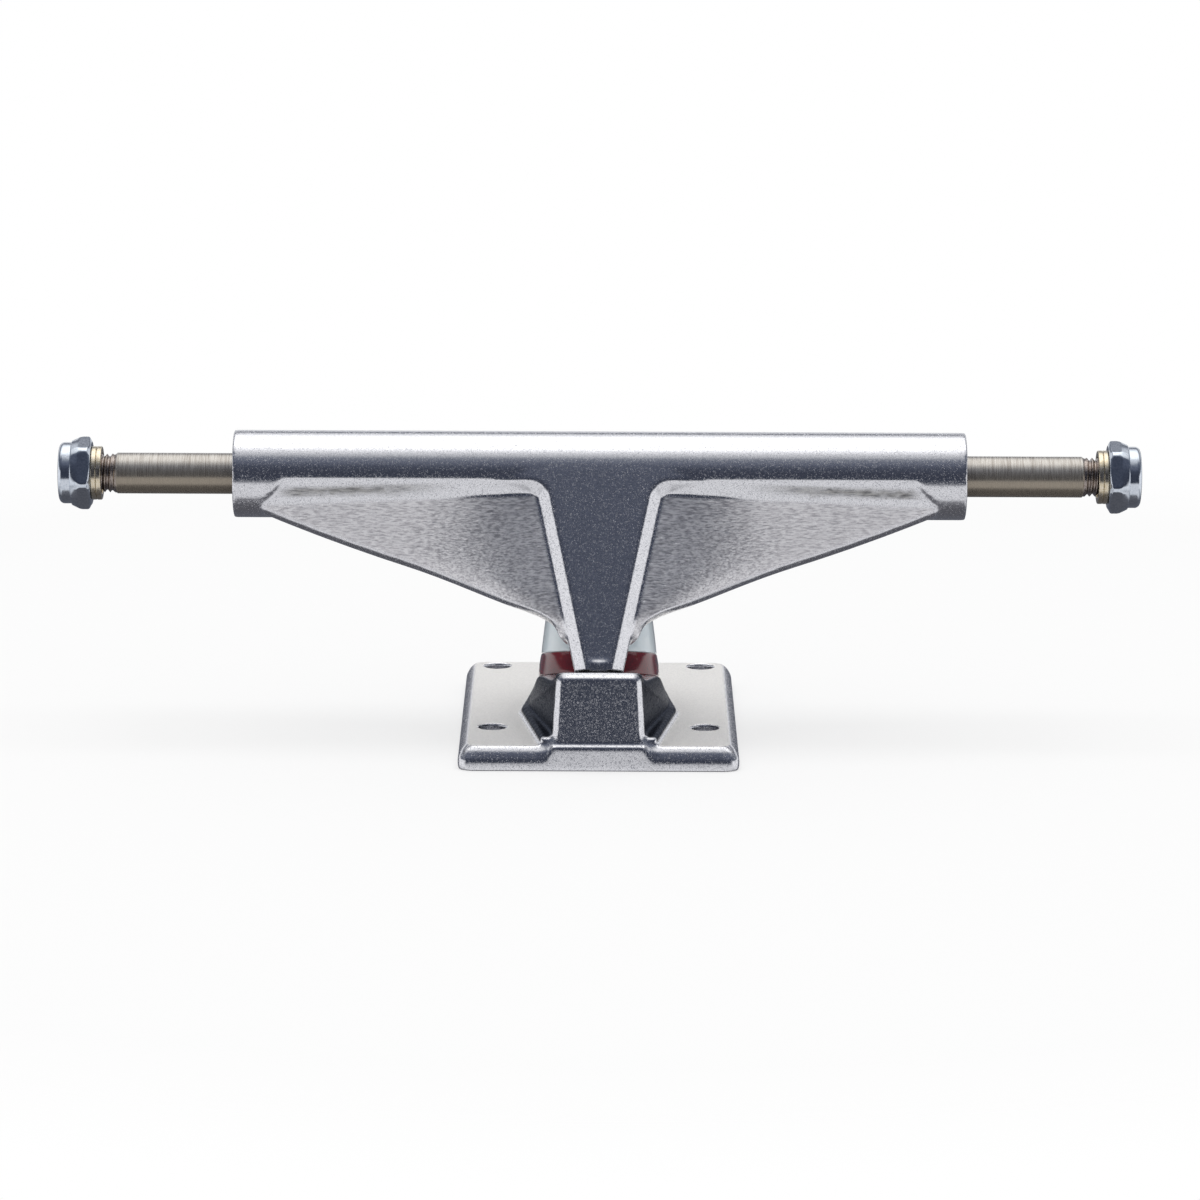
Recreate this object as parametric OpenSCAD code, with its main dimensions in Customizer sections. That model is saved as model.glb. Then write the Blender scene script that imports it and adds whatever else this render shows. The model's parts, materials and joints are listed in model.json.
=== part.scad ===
// Skateboard truck, standing on the face that bolts to the deck.
// Millimetres. +X runs along the axle, +Y from the pivot side towards the kingpin, +Z is up.
// The origin is the middle of the bolt pattern, on the deck face.

/* [Base plate] */
// How far the plate reaches behind the rear bolt holes' centres
plate_rear = 5.2; // [4.6:0.1:9]
// Width of the deck face, along X
plate_w = 54; // [52:0.5:60]
// Thickness of the plate beside the tower
plate_t = 4.7; // [4:0.1:6]
// How far the plate's front edge lies in front of the bolt pattern's centre
plate_front = 44.6; // [44.4:0.1:46]
// How far the side walls lean in, from the foot to the top
plate_draft = 1.1; // [0.6:0.1:1.6]
// Height of the upright strip round the foot of the plate
plate_strip = 2.1; // [1.4:0.1:2.4]
// Width and depth of the broken edge round the plate's top
plate_edge = 1; // [0.6:0.1:1.2]
// Corner radius of the plate
plate_corner = 2.6; // [2:0.2:4]
// Bolt spacing across the plate
bolt_x = 41.275; // [40:0.025:43]
// Bolt spacing along the plate
bolt_y = 53.975; // [53:0.025:56]
// Bolt hole diameter
bolt_hole_d = 5.2; // [4.9:0.1:5.6]

/* [Pivot housing] */
// Width of the housing at its top
housing_w = 16.6; // [16.2:0.1:18]
// Height of the housing above the deck face
housing_h = 18.8; // [18.4:0.1:20]
// How much wider the housing is at its foot, on each side
housing_flare = 0.5; // [0.2:0.1:1]
// Radius of the two upper corners
housing_corner = 1.6; // [1:0.1:2.2]
// Radius of the fillet between the housing and the plate
housing_fillet = 2.7; // [1.5:0.1:3.5]
// How far the front face leans back over its height
housing_lean = 1.9; // [1:0.1:2.4]
// Thickness of the housing's front lip at its top
housing_lip = 1.4; // [1.3:0.1:1.6]
// Width and depth of the bevel round the housing's front face
housing_bevel = 1.1; // [0.6:0.1:1.2]

/* [Pivot] */
// Pivot ball centre, in front of the bolt pattern's centre
pivot_y = -35; // [-35.4:0.1:-34.6]
// Pivot ball centre, above the deck face
pivot_z = 11.5; // [11.2:0.1:11.8]
// Diameter of the pivot ball
pivot_ball_d = 9.2; // [8.6:0.1:9.6]
// Wall of the pivot cup beside the ball
cup_wall = 1.5; // [1.2:0.1:1.7]
// Height of the cup's mouth above the ball centre
cup_mouth_h = 5.1; // [4.8:0.1:5.3]
// Inner diameter of the cup's flared mouth
cup_mouth_d = 13.2; // [13:0.1:13.6]
// Thickness of the cup's lip at its mouth
cup_lip = 0.55; // [0.4:0.05:0.8]

/* [Kingpin seat] */
// Seat centre, along Y
seat_y = -4.4; // [-5:0.1:-3.4]
// Seat centre, above the deck face
seat_z = 8.26; // [8.1:0.02:8.8]
// How far the kingpin and the pivot cup lean back
lean = 16; // [15:0.5:17]
// Diameter of the tower at the seat
seat_d = 24.2; // [24:0.1:25]
// Wall of the tower round the lower washer, which is let into the seat
seat_rim = 0.9; // [0.7:0.1:1.4]
// How much wider the tower is at its foot than at the seat, in radius
tower_flare = 1.3; // [0.6:0.1:1.6]
// How far the step round the foot reaches beyond the tower, on each side
foot_margin = 3.1; // [2.6:0.1:3.4]
// Where the foot is widest, along Y
foot_wide_y = -16; // [-18:0.5:-14]
// Height of the foot's step above the plate
foot_step = 1.5; // [1:0.1:2]
// How far the tower's front lies below the housing's top
tower_drop = 2; // [1.6:0.1:3]

/* [Kingpin] */
// Kingpin diameter
kingpin_d = 9.525; // [9.2:0.025:9.8]
// Width of the kingpin head across its flats
head_af = 14.2; // [13.6:0.1:14.6]
// Thickness of the kingpin head
head_t = 3; // [2.6:0.1:3.2]
// Thickness of the plate's wall between the head and the seat
seat_wall = 2.4; // [2:0.1:2.6]
// Length of thread at the kingpin's top
kingpin_thread = 17; // [12:0.5:19]

/* [Bushings] */
// Thickness of the lower washer
lower_washer_t = 1.2; // [1:0.1:1.6]
// Height of the lower bushing's dark part
lower_bushing_h = 4.5; // [4:0.1:5.5]
// Height of the lower bushing's pale part
lower_cap_h = 10.8; // [10:0.1:11.4]
// How much narrower the lower bushing's foot is than the tower's top
lower_bushing_inset = 0.2; // [0:0.1:1]
// How much narrower the lower bushing is at its top than at its foot
lower_taper = 4; // [3:0.1:4.6]
// Height of the upper bushing
upper_bushing_h = 10.5; // [9.5:0.1:11.5]
// Diameter of the upper bushing at its foot
upper_bushing_d = 19.4; // [18.6:0.1:20]
// Diameter of the upper bushing at its top
upper_top_d = 15.6; // [15:0.1:16.4]
// Thickness of the upper cup washer
upper_washer_t = 1.3; // [1:0.1:1.6]
// Wall of the upper cup washer's rim
upper_washer_wall = 0.8; // [0.6:0.1:1.2]
// Depth of the upper cup washer's rim
upper_washer_rim = 1.6; // [1:0.1:2]

/* [Kingpin nut] */
// Width across the flats
king_nut_af = 14.29; // [13.8:0.01:14.6]
// Height of the hexagon
king_nut_h = 6; // [5:0.1:6.6]
// Height of the collar that holds the locking ring
king_collar_h = 2; // [1.6:0.1:2.6]

/* [Hanger] */
// Width of the hanger between the wheels
hanger_w = 142.2; // [138:0.2:146]
// Diameter of the axle tube
tube_d = 17; // [16.6:0.1:17.6]
// Axle centre, along Y
axle_y = -14.3; // [-14.8:0.1:-13.8]
// Axle centre, above the deck face
axle_z = 52; // [51.5:0.1:52.5]
// Height of the wing's lower edge beside the end collar
wing_tip_z = 44.9; // [44:0.1:46]
// Height of the wing's lower edge where its curve begins
wing_root_z = 28.4; // [28:0.1:29.2]
// Half the width where the wing's curve begins
wing_root_x = 18; // [17:0.5:20]
// How far the wing's lower edge sags below a straight line
wing_sag = 1; // [0:0.1:1.4]
// Radius of the round rim along the wing's lower edge
rim_r = 2.8; // [2:0.1:3.2]
// How far the rim stands in front of the wing's face
rim_proud = 0.1; // [0:0.1:0.6]
// Width of the end collar
collar_w = 5.8; // [4:0.2:8]
// Height of the sharp edge along the tube's front, above the axle's centre
edge_rise = 0.7; // [0:0.1:2]
// Height of the undercut below that edge, beside the stem
undercut_h = 2.7; // [2.2:0.1:3.4]
// Height of the undercut at the wing's tip
undercut_tip_h = 4.9; // [3.6:0.1:5.2]
// How far the undercut leans back
undercut_lean = 15; // [8:1:25]
// How far the wing's face leans back, going down, near its tip
wing_lean = 8; // [2:0.5:10]
// Half the width where the wing's face begins to sweep forward to the stem
sweep_x = 38; // [34:1:56]
// Corner radius where the tube's sharp edge turns down beside the stem
edge_corner = 4.2; // [2:0.2:6]
// Width of the stem's flat face at its top
stem_top_w = 20.8; // [19:0.2:22]
// Width of the stem's flat face at its bottom
stem_foot_w = 4.8; // [4.2:0.1:5.4]
// Width and depth of the bevel along each side of the stem
stem_bevel = 2.2; // [1.6:0.1:2.3]
// Height of the stem's bottom above the deck face
stem_foot_z = 18.2; // [18:0.1:18.6]
// How far the stem's face leans forward, going down
stem_lean = 22.7; // [22.3:0.1:23.1]
// Outer diameter of the yoke round the kingpin
yoke_d = 29; // [27.5:0.5:30]
// Thickness of the yoke's web, between the two bushings
yoke_web = 8; // [7:0.2:8.6]
// Depth of the cup in the yoke that each bushing sits in
yoke_cup = 1.5; // [1:0.1:1.8]
// Diameter of the yoke's hole round the kingpin
yoke_bore_d = 15.4; // [15:0.1:15.8]
// Diameter of the space kept free round the upper washer and nut
yoke_clear_d = 26; // [25:0.5:27]
// Diameter of the pivot neck where it leaves the stem
neck_d = 9.4; // [9:0.1:9.6]

/* [Axle] */
// Overall length of the axle
axle_len = 209.6; // [205:0.2:214]
// Diameter of the axle where the bearings sit
axle_d = 7.94; // [7.8:0.01:7.97]
// Diameter of the axle inside the hanger, where it is knurled
axle_core_d = 8.4; // [8.3:0.1:9]
// Diameter over the thread's crests
thread_d = 7.62; // [7.5:0.01:7.62]
// Length of thread at each end
thread_len = 10.9; // [10:0.1:12]
// Depth of the thread
thread_depth = 0.55; // [0.3:0.05:0.65]
// Thread pitch of the axle and the kingpin, 24 threads to the inch
pitch = 1.0583; // [0.9:0.01:1.2]

/* [Axle nuts and washers] */
// Diameter of a speed washer
washer_d = 10.4; // [10:0.1:11.4]
// Thickness of a speed washer
washer_t = 1; // [0.8:0.05:1.2]
// Width across the flats of an axle nut
nut_af = 12.7; // [12.4:0.01:13]
// Height of an axle nut's hexagon
nut_h = 3.9; // [3.5:0.1:4.4]
// Height of the collar that holds an axle nut's locking ring
nut_collar_h = 2.4; // [2:0.1:2.8]
// Diameter of that collar
nut_collar_d = 11.9; // [11.4:0.1:12.2]
// How far the nut's outer face stands past the axle's end
nut_proud = 0.25; // [0:0.05:1]
// How far a nut's front flat is turned up
nut_clock = 20; // [0:1:30]

/* [Clearances] */
// Radial gap of pieces that slide or turn on a shaft
run_gap = 0.05; // [0.02:0.01:0.08]
// Gap between the bushings and the kingpin
bushing_gap = 0.3; // [0.2:0.05:0.5]
// Gap between a pressed-in piece and its seat
seat_gap = 0.02; // [0.01:0.01:0.05]

/* [Hidden] */
$fn = 96;
far = 400;
eps = 0.01;
LEFT = -1;
RIGHT = 1;

// The housing and the tower
wall_set = 0.7 * plate_draft;
top_front = wall_set + plate_edge - plate_front;
housing_front = top_front - housing_bevel - housing_lean * plate_t / housing_h;
cup_r = pivot_ball_d / 2 + run_gap + cup_wall;
cup_lip_r = cup_mouth_d / 2 + cup_lip;
cup_flare_h = 2.4;
// The tower's top is faced off this much wider than its seat
spot_face = 4;
head_gap = 0.4;
strip_rise = 2.8;
strip_ramp = 1.7;
tower_y = seat_y - 0.6;
tower_set = 2.6;
foot_ledge = 1.3;
foot_top = plate_t + foot_step;
foot_half_w = seat_d / 2 + foot_margin;
plate_len = plate_front + bolt_y / 2 + plate_rear;
washer_seat_d = seat_d - 2 * seat_rim;
lower_bushing_d = seat_d - lower_bushing_inset;
lower_top_d = lower_bushing_d - lower_taper;
upper_washer_play = 0.9;
upper_washer_d = upper_top_d + 2 * (upper_washer_wall + upper_washer_play);

// The stack on the kingpin, as heights above the seat
lower_bushing_0 = lower_washer_t;
lower_cap_0 = lower_bushing_0 + lower_bushing_h;
yoke_web_0 = lower_cap_0 + lower_cap_h;
yoke_web_1 = yoke_web_0 + yoke_web;
upper_washer_0 = yoke_web_1 + upper_bushing_h;
king_nut_0 = upper_washer_0 + upper_washer_t;
kingpin_top = king_nut_0 + king_nut_h + king_collar_h + 0.4;
head_top = -seat_wall;
kingpin_r = kingpin_d / 2;
kingpin_bore_r = kingpin_r + run_gap;
bushing_bore_r = kingpin_r + bushing_gap;
lower_joint_d = lower_bushing_d
    + (lower_top_d - lower_bushing_d) * lower_bushing_h / (lower_bushing_h + lower_cap_h);

// The hanger
tube_r = tube_d / 2;
stem_top_y = axle_y - tube_r / cos(stem_lean);
stem_len = (axle_z - stem_foot_z) / cos(stem_lean);
// The corner web runs up to the tube's tangent line, and its last section sinks to the tube
web_reach = 2.5;
web_fade = 0.6;
// How far the stem tapers over the axle's height, where it meets the tube, and how thick its slab is
stem_rise = 1.5;
stem_reach = tube_r * tan(stem_lean) - web_fade;
stem_body = 6;
core_set = stem_bevel / cos(stem_lean) + 1.6;
// How far the core reaches behind the seat's centre, and its nose behind and above the ball and the stem's foot
core_back = 8.4;
nose_back = 8.5;
nose_rise = 2.6;
wing_steps = 14;
edge_z = axle_z + edge_rise;
edge_y = axle_y - sqrt(tube_r * tube_r - edge_rise * edge_rise);
face_top_y = edge_y + undercut_tip_h * tan(undercut_lean);
tip_x = hanger_w / 2 - collar_w;
curve_x = stem_foot_w / 2 + stem_bevel + 0.6;
curve_z = stem_foot_z + 0.4;
neck_h = 7.4;
thread_r = thread_d / 2;
nut_bore_r = thread_r + run_gap;
nut_face = axle_len / 2 + nut_proud - nut_collar_h - nut_h;
nut_thread_play = run_gap;

// Places a piece on the kingpin's axis, h above the seat
module on_kingpin(h = 0) {
    translate([0, seat_y, seat_z]) rotate([-lean, 0, 0]) translate([0, 0, h]) children();
}

// Places a piece on the pivot cup's axis, measured from the ball centre
module on_pivot(h = 0) {
    translate([0, pivot_y, pivot_z]) rotate([-lean, 0, 0]) translate([0, 0, h]) children();
}

// Places a piece that is drawn along +Z on the axle, at x along it
module on_axle(side, x) {
    translate([side * x, axle_y, axle_z]) rotate([0, side * 90, 0]) children();
}

// Extrudes an outline drawn in X and Z through the whole depth
module front_view(depth = far) {
    translate([0, depth / 2, 0]) rotate([90, 0, 0]) linear_extrude(depth) children();
}

// Extrudes an outline drawn in Y and Z across the width
module side_view(width) {
    translate([-width / 2, 0, 0]) rotate([90, 0, 90]) linear_extrude(width) children();
}

// Joins cross-sections of the same number of points, in order, into one solid. The first end's faces are
// given, and the last end has the same faces turned round.
module skin(sections, end_faces) {
    n = len(sections[0]);
    last = (len(sections) - 1) * n;
    polyhedron(
        points = [for (section = sections) each section],
        faces = concat(
            end_faces,
            [for (f = end_faces) [last + f[2], last + f[1], last + f[0]]],
            [for (a = [0 : last - 1]) let (b = a % n == n - 1 ? a + 1 - n : a + 1)
                each [[a, b + n, b], [a, a + n, b + n]]]));
}

module rounded_slab(w, l, r, t) {
    for (x = [-1, 1], y = [-1, 1])
        translate([x * (w / 2 - r), y * (l / 2 - r), 0]) cylinder(r = r, h = t, $fn = 32);
}

// The plate: an upright strip round its foot, drafted walls and a broken upper edge
module plate_body() {
    drafted = 2 * wall_set;
    top = drafted + 2 * plate_edge;
    translate([0, plate_len / 2 - plate_front, 0]) {
        hull() rounded_slab(plate_w, plate_len, plate_corner, plate_strip);
        hull() {
            translate([0, 0, plate_strip - eps]) rounded_slab(plate_w, plate_len, plate_corner, eps);
            translate([0, 0, plate_t - plate_edge])
                rounded_slab(plate_w - drafted, plate_len - drafted, plate_corner, eps);
            translate([0, 0, plate_t - eps])
                rounded_slab(plate_w - top, plate_len - top, plate_corner - plate_edge / 2, eps);
        }
    }
}

// The housing seen from the front: drafted sides, round shoulders, filleted foot
module housing_outline() {
    half = housing_w / 2;
    foot = half + housing_flare;
    difference() {
        polygon([[-foot - housing_fillet, 0], [foot + housing_fillet, 0],
            [foot + housing_fillet, plate_t], [foot, plate_t + housing_fillet],
            [half, housing_h - housing_corner], [half - housing_corner, housing_h],
            [housing_corner - half, housing_h], [-half, housing_h - housing_corner],
            [-foot, plate_t + housing_fillet], [-foot - housing_fillet, plate_t]]);
        for (side = [-1, 1])
            translate([side * (foot + housing_fillet), plate_t + housing_fillet])
                circle(r = housing_fillet);
    }
    for (side = [-1, 1])
        translate([side * (half - housing_corner), housing_h - housing_corner])
            circle(r = housing_corner);
}

// Where the housing's leaning front face lies at a height
function housing_face(z) = housing_front + housing_lean * z / housing_h;

// The housing's front edge as [x, z, direction outwards], from the plate up to the middle of the top
housing_edge = let (half = housing_w / 2, foot = half + housing_flare) concat(
    [for (a = [270 : -18 : 180]) [foot + housing_fillet * (1 + cos(a)), plate_t + housing_fillet * (1 + sin(a)),
        a - 180]],
    [for (a = [0 : 18 : 90]) [half - housing_corner * (1 - cos(a)), housing_h - housing_corner * (1 - sin(a)), a]]);

// What the bevel round the front face takes off: a square bar, on edge, that follows the front edge
module housing_bevel_cut() {
    function bar(side, x, z, out) = [for (a = [0 : 90 : 270])
        [side * (x + housing_bevel * cos(a) * cos(out)), housing_face(z) - housing_bevel * sin(a),
            z + housing_bevel * cos(a) * sin(out)]];
    last = len(housing_edge) - 1;
    sections = concat(
        [for (p = housing_edge) bar(1, p[0], p[1], p[2])],
        [for (i = [last : -1 : 0]) let (p = housing_edge[i]) bar(-1, p[0], p[1], p[2])]);
    skin(sections, [[0, 1, 2], [0, 2, 3]]);
}

// The top of the housing falls away behind its front lip, level with the cup's mouth
module housing_side() {
    mouth_y = pivot_y + cup_mouth_h * sin(lean);
    mouth_z = pivot_z + cup_mouth_h * cos(lean);
    lip_y = housing_front + housing_lean + housing_lip;
    back_y = seat_y - seat_d / 2;
    polygon([[housing_front, 0], [housing_front + housing_lean, housing_h], [lip_y, housing_h],
        [lip_y, min(housing_h - eps, mouth_z + (mouth_y - lip_y) * tan(lean))],
        [back_y, mouth_z + (mouth_y - back_y) * tan(lean)], [seat_y, 0]]);
}

// The step round the tower's foot: widest beside the seat, narrow at the plate's front edge
module tower_foot() {
    narrow = housing_w / 2 + housing_fillet;
    round_r = foot_half_w - foot_margin / 2;
    linear_extrude(foot_top) {
        polygon([[-narrow, top_front], [narrow, top_front], [foot_half_w, foot_wide_y],
            [round_r, seat_y], [-round_r, seat_y], [-foot_half_w, foot_wide_y]]);
        translate([0, tower_y]) circle(r = round_r);
    }
}

// The block that rises from the foot to the kingpin seat and flares out from the housing
module tower() {
    foot_r = seat_d / 2 + tower_flare;
    wide = foot_half_w - foot_ledge;
    hull() {
        on_kingpin(-seat_wall)
            cylinder(r1 = (foot_r + 3 * seat_d / 2) / 4, r2 = seat_d / 2, h = seat_wall + lower_washer_t);
        translate([0, tower_y, foot_top - eps]) cylinder(r = foot_r, h = eps);
        translate([run_gap - housing_w / 2, housing_front + tower_set, foot_top])
            cube([housing_w - 2 * run_gap, eps, housing_h - tower_drop - foot_top]);
        translate([-wide, foot_wide_y, foot_top - eps]) cube([2 * wide, foot_ledge, eps]);
    }
}

// The upright ground strip stands taller in front of the housing, between two ramps
module raised_strip() {
    half = housing_w / 2 + housing_flare;
    translate([0, housing_fillet / 2 - plate_front, 0]) front_view(housing_fillet) polygon([
        [-half - strip_ramp, 0], [half + strip_ramp, 0], [half + strip_ramp, plate_strip],
        [half, plate_strip + strip_rise], [-half, plate_strip + strip_rise], [-half - strip_ramp, plate_strip]]);
}

module baseplate() color("silver") difference() {
    union() {
        plate_body();
        intersection() {
            front_view() housing_outline();
            side_view(plate_w) housing_side();
        }
        tower_foot();
        tower();
        raised_strip();
    }
    for (x = [-1, 1], y = [-1, 1])
        translate([x * bolt_x / 2, y * bolt_y / 2, -1]) cylinder(d = bolt_hole_d, h = plate_t + 2);
    housing_bevel_cut();
    on_kingpin(-far / 2) cylinder(r = kingpin_bore_r, h = far);
    on_kingpin() cylinder(d = washer_seat_d, h = far);
    on_kingpin(lower_washer_t) cylinder(d = seat_d + spot_face, h = far);
    on_kingpin(-far) cylinder(r = head_af / 2 / cos(30) + head_gap, h = far - seat_wall);
    on_pivot() {
        cylinder(r = cup_r + seat_gap, h = far);
        sphere(r = cup_r + seat_gap);
        translate([0, 0, cup_mouth_h - cup_flare_h])
            cylinder(r1 = cup_r + seat_gap, r2 = cup_lip_r + seat_gap, h = cup_flare_h);
        translate([0, 0, cup_mouth_h]) cylinder(r = cup_lip_r + seat_gap + 0.3, h = far);
    }
}

// A cup with a round socket for the ball and a mouth that flares to let the neck swing
module pivot_cup() color("dimgray") on_pivot() difference() {
    union() {
        intersection() {
            sphere(r = cup_r);
            translate([0, 0, -cup_r]) cylinder(r = 2 * cup_r, h = cup_r);
        }
        cylinder(r = cup_r, h = cup_mouth_h - cup_flare_h);
        translate([0, 0, cup_mouth_h - cup_flare_h])
            cylinder(r1 = cup_r, r2 = cup_lip_r, h = cup_flare_h);
    }
    sphere(d = pivot_ball_d + 2 * run_gap);
    cylinder(r1 = pivot_ball_d / 2 + run_gap, r2 = cup_mouth_d / 2, h = cup_mouth_h + eps);
}

// Half outline of a threaded shaft end: crests at r, roots thread_depth below them
function thread_profile(r, from, to) = [
    [0, from], [r - thread_depth, from],
    for (z = [from : pitch : to - pitch]) each [[r, z + pitch * 0.45], [r, z + pitch * 0.55],
        [r - thread_depth, z + pitch]],
    [r - thread_depth, to - 0.3], [r - thread_depth - 0.4, to], [0, to]];

module hexagon(af, h, chamfer_low, chamfer_high) {
    corner = af / 2 / cos(30);
    intersection() {
        cylinder(r = corner, h = h, $fn = 6);
        union() {
            cylinder(r1 = af / 2 + (corner - af / 2) * (1 - chamfer_low), r2 = corner + 0.2,
                h = (corner - af / 2) * 0.7);
            translate([0, 0, (corner - af / 2) * 0.7 - eps])
                cylinder(r = corner + 0.2, h = h - (corner - af / 2) * 1.4 + 2 * eps);
            translate([0, 0, h - (corner - af / 2) * 0.7])
                cylinder(r1 = corner + 0.2, r2 = af / 2 + (corner - af / 2) * (1 - chamfer_high),
                    h = (corner - af / 2) * 0.7);
        }
    }
}

module kingpin() color("darkgray") {
    on_kingpin(head_top - head_t) hexagon(head_af, head_t, 1, 0.2);
    on_kingpin(head_top - eps)
        cylinder(r = kingpin_r, h = kingpin_top - kingpin_thread - head_top + 2 * eps);
    on_kingpin() rotate_extrude()
        polygon(thread_profile(kingpin_r - nut_thread_play, kingpin_top - kingpin_thread, kingpin_top));
}

module lower_washer() color("lightgray") on_kingpin() difference() {
    cylinder(d = washer_seat_d - 2 * seat_gap, h = lower_washer_t);
    translate([0, 0, -1]) cylinder(r = kingpin_bore_r, h = lower_washer_t + 2);
}

module lower_bushing() color("darkred") on_kingpin(lower_bushing_0) difference() {
    cylinder(d1 = lower_bushing_d, d2 = lower_joint_d, h = lower_bushing_h);
    translate([0, 0, -1]) cylinder(r = bushing_bore_r, h = lower_bushing_h + 2);
}

module lower_bushing_cap() color("lightsteelblue") on_kingpin(lower_cap_0) difference() {
    cylinder(d1 = lower_joint_d, d2 = lower_top_d, h = lower_cap_h);
    translate([0, 0, -1]) cylinder(r = bushing_bore_r, h = lower_cap_h + 2);
}

module upper_bushing() color("darkred") on_kingpin(yoke_web_1) difference() {
    cylinder(d1 = upper_bushing_d, d2 = upper_top_d, h = upper_bushing_h);
    translate([0, 0, -1]) cylinder(r = bushing_bore_r, h = upper_bushing_h + 2);
}

module upper_cup_washer() color("silver") on_kingpin(upper_washer_0) difference() {
    translate([0, 0, -upper_washer_rim])
        cylinder(d = upper_washer_d, h = upper_washer_t + upper_washer_rim);
    translate([0, 0, -upper_washer_rim - eps])
        cylinder(d1 = upper_washer_d - 2 * upper_washer_wall, d2 = upper_washer_d - 2 * upper_washer_wall - 1,
            h = upper_washer_rim + eps);
    translate([0, 0, -1]) cylinder(r = kingpin_bore_r, h = upper_washer_t + 2);
}

// A lock nut: a hexagon under a round collar, open at the top for the locking ring
module lock_nut(af, hex_h, collar_h, collar_d, bore_r) {
    ring_r = bore_r + 1.5;
    difference() {
        union() {
            hexagon(af, hex_h, 1, 1);
            translate([0, 0, hex_h - eps]) cylinder(d = collar_d, h = collar_h - 0.7 + eps);
            translate([0, 0, hex_h + collar_h - 0.7])
                cylinder(d1 = collar_d, d2 = collar_d - 1.3, h = 0.7);
        }
        translate([0, 0, -1]) cylinder(r = bore_r, h = hex_h + collar_h + 2);
        translate([0, 0, hex_h]) cylinder(r = ring_r, h = collar_h - 0.5);
        translate([0, 0, -eps]) cylinder(r1 = bore_r + 0.5, r2 = bore_r, h = 0.5);
    }
}

// The nylon ring that sits in the collar
module lock_ring(hex_h, collar_h, bore_r) {
    translate([0, 0, hex_h + seat_gap]) difference() {
        cylinder(r = bore_r + 1.5 - seat_gap, h = collar_h - 0.5 - 2 * seat_gap);
        translate([0, 0, -1]) cylinder(r = bore_r, h = collar_h + 2);
    }
}

module kingpin_nut() color("silver") on_kingpin(king_nut_0)
    lock_nut(king_nut_af, king_nut_h, king_collar_h, king_nut_af - 0.8, kingpin_r);

module kingpin_nut_insert() color("white") on_kingpin(king_nut_0)
    lock_ring(king_nut_h, king_collar_h, kingpin_r);

// The stem's face, leaning forward as it goes down, tangent to the tube
function stem_face(z) = stem_top_y - (axle_z - z) * tan(stem_lean);

// How far the wing's face has swept forward to the stem: 0 near the tip, 1 at the stem
function sweep(x) = let (t = min(1, max(0, (sweep_x - x) / (sweep_x - stem_top_w / 2)))) t * t * (3 - 2 * t);

// The undercut's lower end: it falls from the stem to the tip
function undercut_z(x) = edge_z - undercut_h
    - (undercut_tip_h - undercut_h) * max(0, x - stem_top_w / 2) / (tip_x - stem_top_w / 2);

// The wing's face: nearly upright near the tip, and just behind the stem's face beside the stem
function wing_face(x, z) = (1 - sweep(x)) * (face_top_y + (edge_z - undercut_tip_h - z) * tan(wing_lean))
    + sweep(x) * (stem_face(z) + stem_bevel / cos(stem_lean));

// The wing's lower edge as [x, z]: a curve up from the stem's foot, then a sagging run out to the tip
wing_edge = [
    for (a = [172 : -13 : 107]) [curve_x + (wing_root_x - curve_x) * (1 + cos(a)),
        curve_z + (wing_root_z - curve_z - 0.5) * sin(a)],
    for (i = [0 : wing_steps]) let (t = i / wing_steps) [wing_root_x + (tip_x - wing_root_x) * t,
        wing_root_z + (wing_tip_z - wing_root_z) * t - 4 * wing_sag * t * (1 - t)]];

// A cross-section of the wing: along the tube's edge, down the face, round the rim and up the back
function wing_section(x, low) =
    let (rim_z = low + rim_r, rim_y = wing_face(x, rim_z) - rim_proud + rim_r,
        top_z = max(undercut_z(x), rim_z + rim_r / 4), face_z = (rim_z + min(rim_z + rim_r, top_z)) / 2)
    concat([[x, axle_y, edge_z], [x, edge_y, edge_z], [x, wing_face(x, top_z), top_z],
        [x, wing_face(x, face_z), face_z]],
        [for (a = [180 : 30 : 360]) [x, rim_y + rim_r * cos(a), rim_z + rim_r * sin(a)]],
        [[x, axle_y + tube_r / 4, axle_z - tube_r / 2]]);

module both_sides() {
    children();
    mirror([1, 0, 0]) children();
}

// One wing, skinned over its cross-sections
module wing() {
    sections = [for (edge = wing_edge) wing_section(edge[0], edge[1])];
    n = len(sections[0]);
    rim = 4;
    // An end face: a fan from the back's top over the face, and one from the rim's front over the rim
    skin(sections, concat([for (k = [0 : rim - 1]) [n - 1, k, k + 1]], [[n - 1, rim, n - 2]],
        [for (k = [rim + 1 : n - 3]) [rim, k, k + 1]]));
}

// What is cut from the tube's front under its sharp edge, with a round corner beside the stem
module undercut() {
    inner = stem_top_w / 2 + stem_bevel;
    slant = tube_r / 2;
    low_z = axle_z - tube_r - 1;
    intersection() {
        side_view(hanger_w) polygon([[edge_y - tube_r, edge_z], [edge_y, edge_z],
            [edge_y + (edge_z - low_z) * tan(undercut_lean), low_z], [edge_y - tube_r, low_z]]);
        front_view() both_sides() polygon([
            for (a = [180 : -10 : 90])
                [inner + edge_corner * (1 + cos(a)), edge_z - edge_corner * (1 - sin(a)) + eps],
            [tip_x - slant, edge_z + eps], [tip_x - eps, axle_z - slant], [tip_x - eps, low_z],
            [inner, low_z]]);
    }
}

// The stem's outline in its own leaning plane, grown by the bevel and sunk behind the face
module stem_slice(grow, sink) {
    translate([0, stem_top_y, axle_z]) rotate([90 - stem_lean, 0, 0]) translate([0, 0, -sink])
        linear_extrude(eps) polygon([[-stem_top_w / 2 - grow, stem_reach], [stem_top_w / 2 + grow, stem_reach],
            [stem_top_w / 2 + grow, stem_rise], [stem_foot_w / 2 + grow, -stem_len],
            [-stem_foot_w / 2 - grow, -stem_len], [-stem_top_w / 2 - grow, stem_rise]]);
}

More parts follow.
